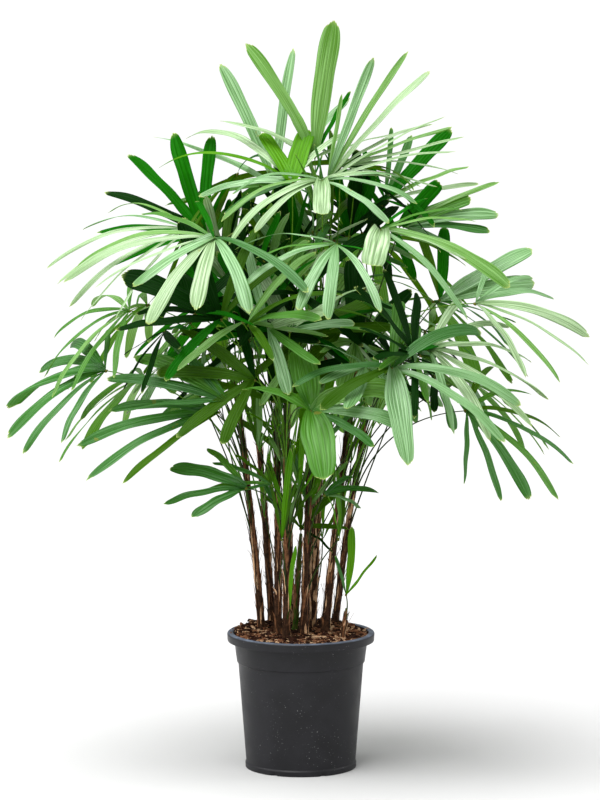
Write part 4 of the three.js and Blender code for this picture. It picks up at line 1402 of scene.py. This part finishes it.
def add_chip(mulch, dice, spilt):
    """A chip of bark with uneven corners, on the soil or spilt on the rim."""
    centre = on_rim(dice) if spilt else on_soil(dice)
    axes = np.array(turned(dice, SPILT_SLOPE if spilt else CHIP_SLOPE))
    size = dice.between(*CHIP_HALVES) * (SPILT_SIZE if spilt else 1 + dice.roll() ** 3)
    halves = np.array([size, size * dice.between(*CHIP_WIDTHS), size * dice.between(*CHIP_HEIGHTS)])
    jitter = np.reshape([dice.between(*CHIP_CORNERS) for _ in range(CHIP_CUBE.size)], CHIP_CUBE.shape)
    corners = (CHIP_CUBE * jitter * halves) @ axes
    paint = dice.pick(CHIP_TONES)
    lift = SPILT_LIFT if spilt else dice.between(*CHIP_LIFTS)
    mulch.add_faces(centre + corners + UP * lift, CHIP_FACES, paint)


def add_hair(mulch, dice):
    centre = on_soil(dice) + UP * HAIR_LIFT
    ahead, side, up = turned(dice, HAIR_SLOPE)
    steps = np.linspace(-1, 1, HAIR_ROWS)[:, None]
    line = centre + ahead * steps * dice.between(*HAIR_HALVES) + side * steps ** 2 * dice.chance(HAIR_BEND)
    line = line + up * (1 - steps ** 2) * HAIR_ARCH
    grid = tube_along(line, np.full(HAIR_ROWS, HAIR_RADIUS), 3)
    mulch.add_grid(grid, dice.pick(HAIR_TONES), closed=True)


def make_mulch():
    dice = Dice(SEEDS["mulch"])
    mulch = Batch("chip_dark", "chip_red", "chip_tan", "fibre")
    for index in range(CHIPS + SPILT_CHIPS):
        add_chip(mulch, dice, index >= CHIPS)
    for _ in range(SOIL_HAIRS):
        add_hair(mulch, dice)
    mulch.build("bark_mulch", "soil", ["soil"], smooth=False)


# ---- studio

# The photograph's frame and view: the camera's place, its fall, and its focal length in pixels.
IMAGE_HEIGHT = 800
SENSOR = 36
FOCAL_PIXELS = 3993
CAMERA_PLACE = (-0.0016, -7.2, 1.54)
CAMERA_FALL = 6.84
FLOOR_REACH = 150
FLOOR_GREY = (182, 182, 182)
FLOOR_ROUGHNESS = 0.9
FARTHEST = 400

WORLD_STRENGTH = 0.42
# A key light from above, as broad as an overcast sky's bright part.
SUN_STRENGTH = 6
SUN_SPREAD = 60
SUN_TILTS = (12, -14, 0)
# Soft lights round the crown: where they are, and their watts.
CROWN = Vector((0, 0, 0.8))
SOFT_LIGHTS = {
    "side_left": ((-3.2, 0.2, 2.2), 30),
    "side_right": ((3.2, 0.4, 2.2), 30),
    "front_fill": ((-1.6, -4.2, 3.4), 60),
}
SOFT_SIZE = 2


def place_camera():
    lens = bpy.data.cameras.new("camera")
    lens.sensor_fit = "VERTICAL"
    lens.sensor_height = SENSOR
    lens.lens = FOCAL_PIXELS * SENSOR / IMAGE_HEIGHT
    lens.clip_end = FARTHEST
    camera = linked("camera", lens, CAMERA_PLACE, (radians(90 - CAMERA_FALL), 0, 0))
    bpy.context.scene.camera = camera


def add_lamp(name, kind, place, turn, **settings):
    lamp = bpy.data.lights.new(name, kind)
    for key, value in settings.items():
        setattr(lamp, key, value)
    linked(name, lamp, place, turn)


def light_studio():
    world = bpy.data.worlds.new("studio")
    world.use_nodes = True
    background = world.node_tree.nodes["Background"]
    background.inputs["Color"].default_value = (1, 1, 1, 1)
    background.inputs["Strength"].default_value = WORLD_STRENGTH
    bpy.context.scene.world = world
    add_lamp("key_above", "SUN", CROWN, [radians(tilt) for tilt in SUN_TILTS],
             angle=radians(SUN_SPREAD), energy=SUN_STRENGTH)
    for name, (place, watts) in SOFT_LIGHTS.items():
        turn = (CROWN - Vector(place)).to_track_quat("-Z", "Y").to_euler()
        add_lamp(name, "AREA", place, turn, shape="DISK", size=SOFT_SIZE, energy=watts)
    bpy.context.scene.view_settings.view_transform = "Standard"


def make_floor():
    mesh = bpy.data.meshes.new("floor")
    corners = [(x * FLOOR_REACH, y * FLOOR_REACH, 0) for x, y in ((-1, -1), (1, -1), (1, 1), (-1, 1))]
    mesh.from_pydata(corners, [], [(0, 1, 2, 3)])
    nodes = Nodes("floor_white")
    nodes.finish(srgb(*FLOOR_GREY), FLOOR_ROUGHNESS)
    mesh.materials.append(nodes.material)
    floor = linked("floor", mesh)


make_materials()
make_fronds()
make_canes()
make_pot()
make_soil_bed()
make_mulch()
make_floor()
place_camera()
light_studio()
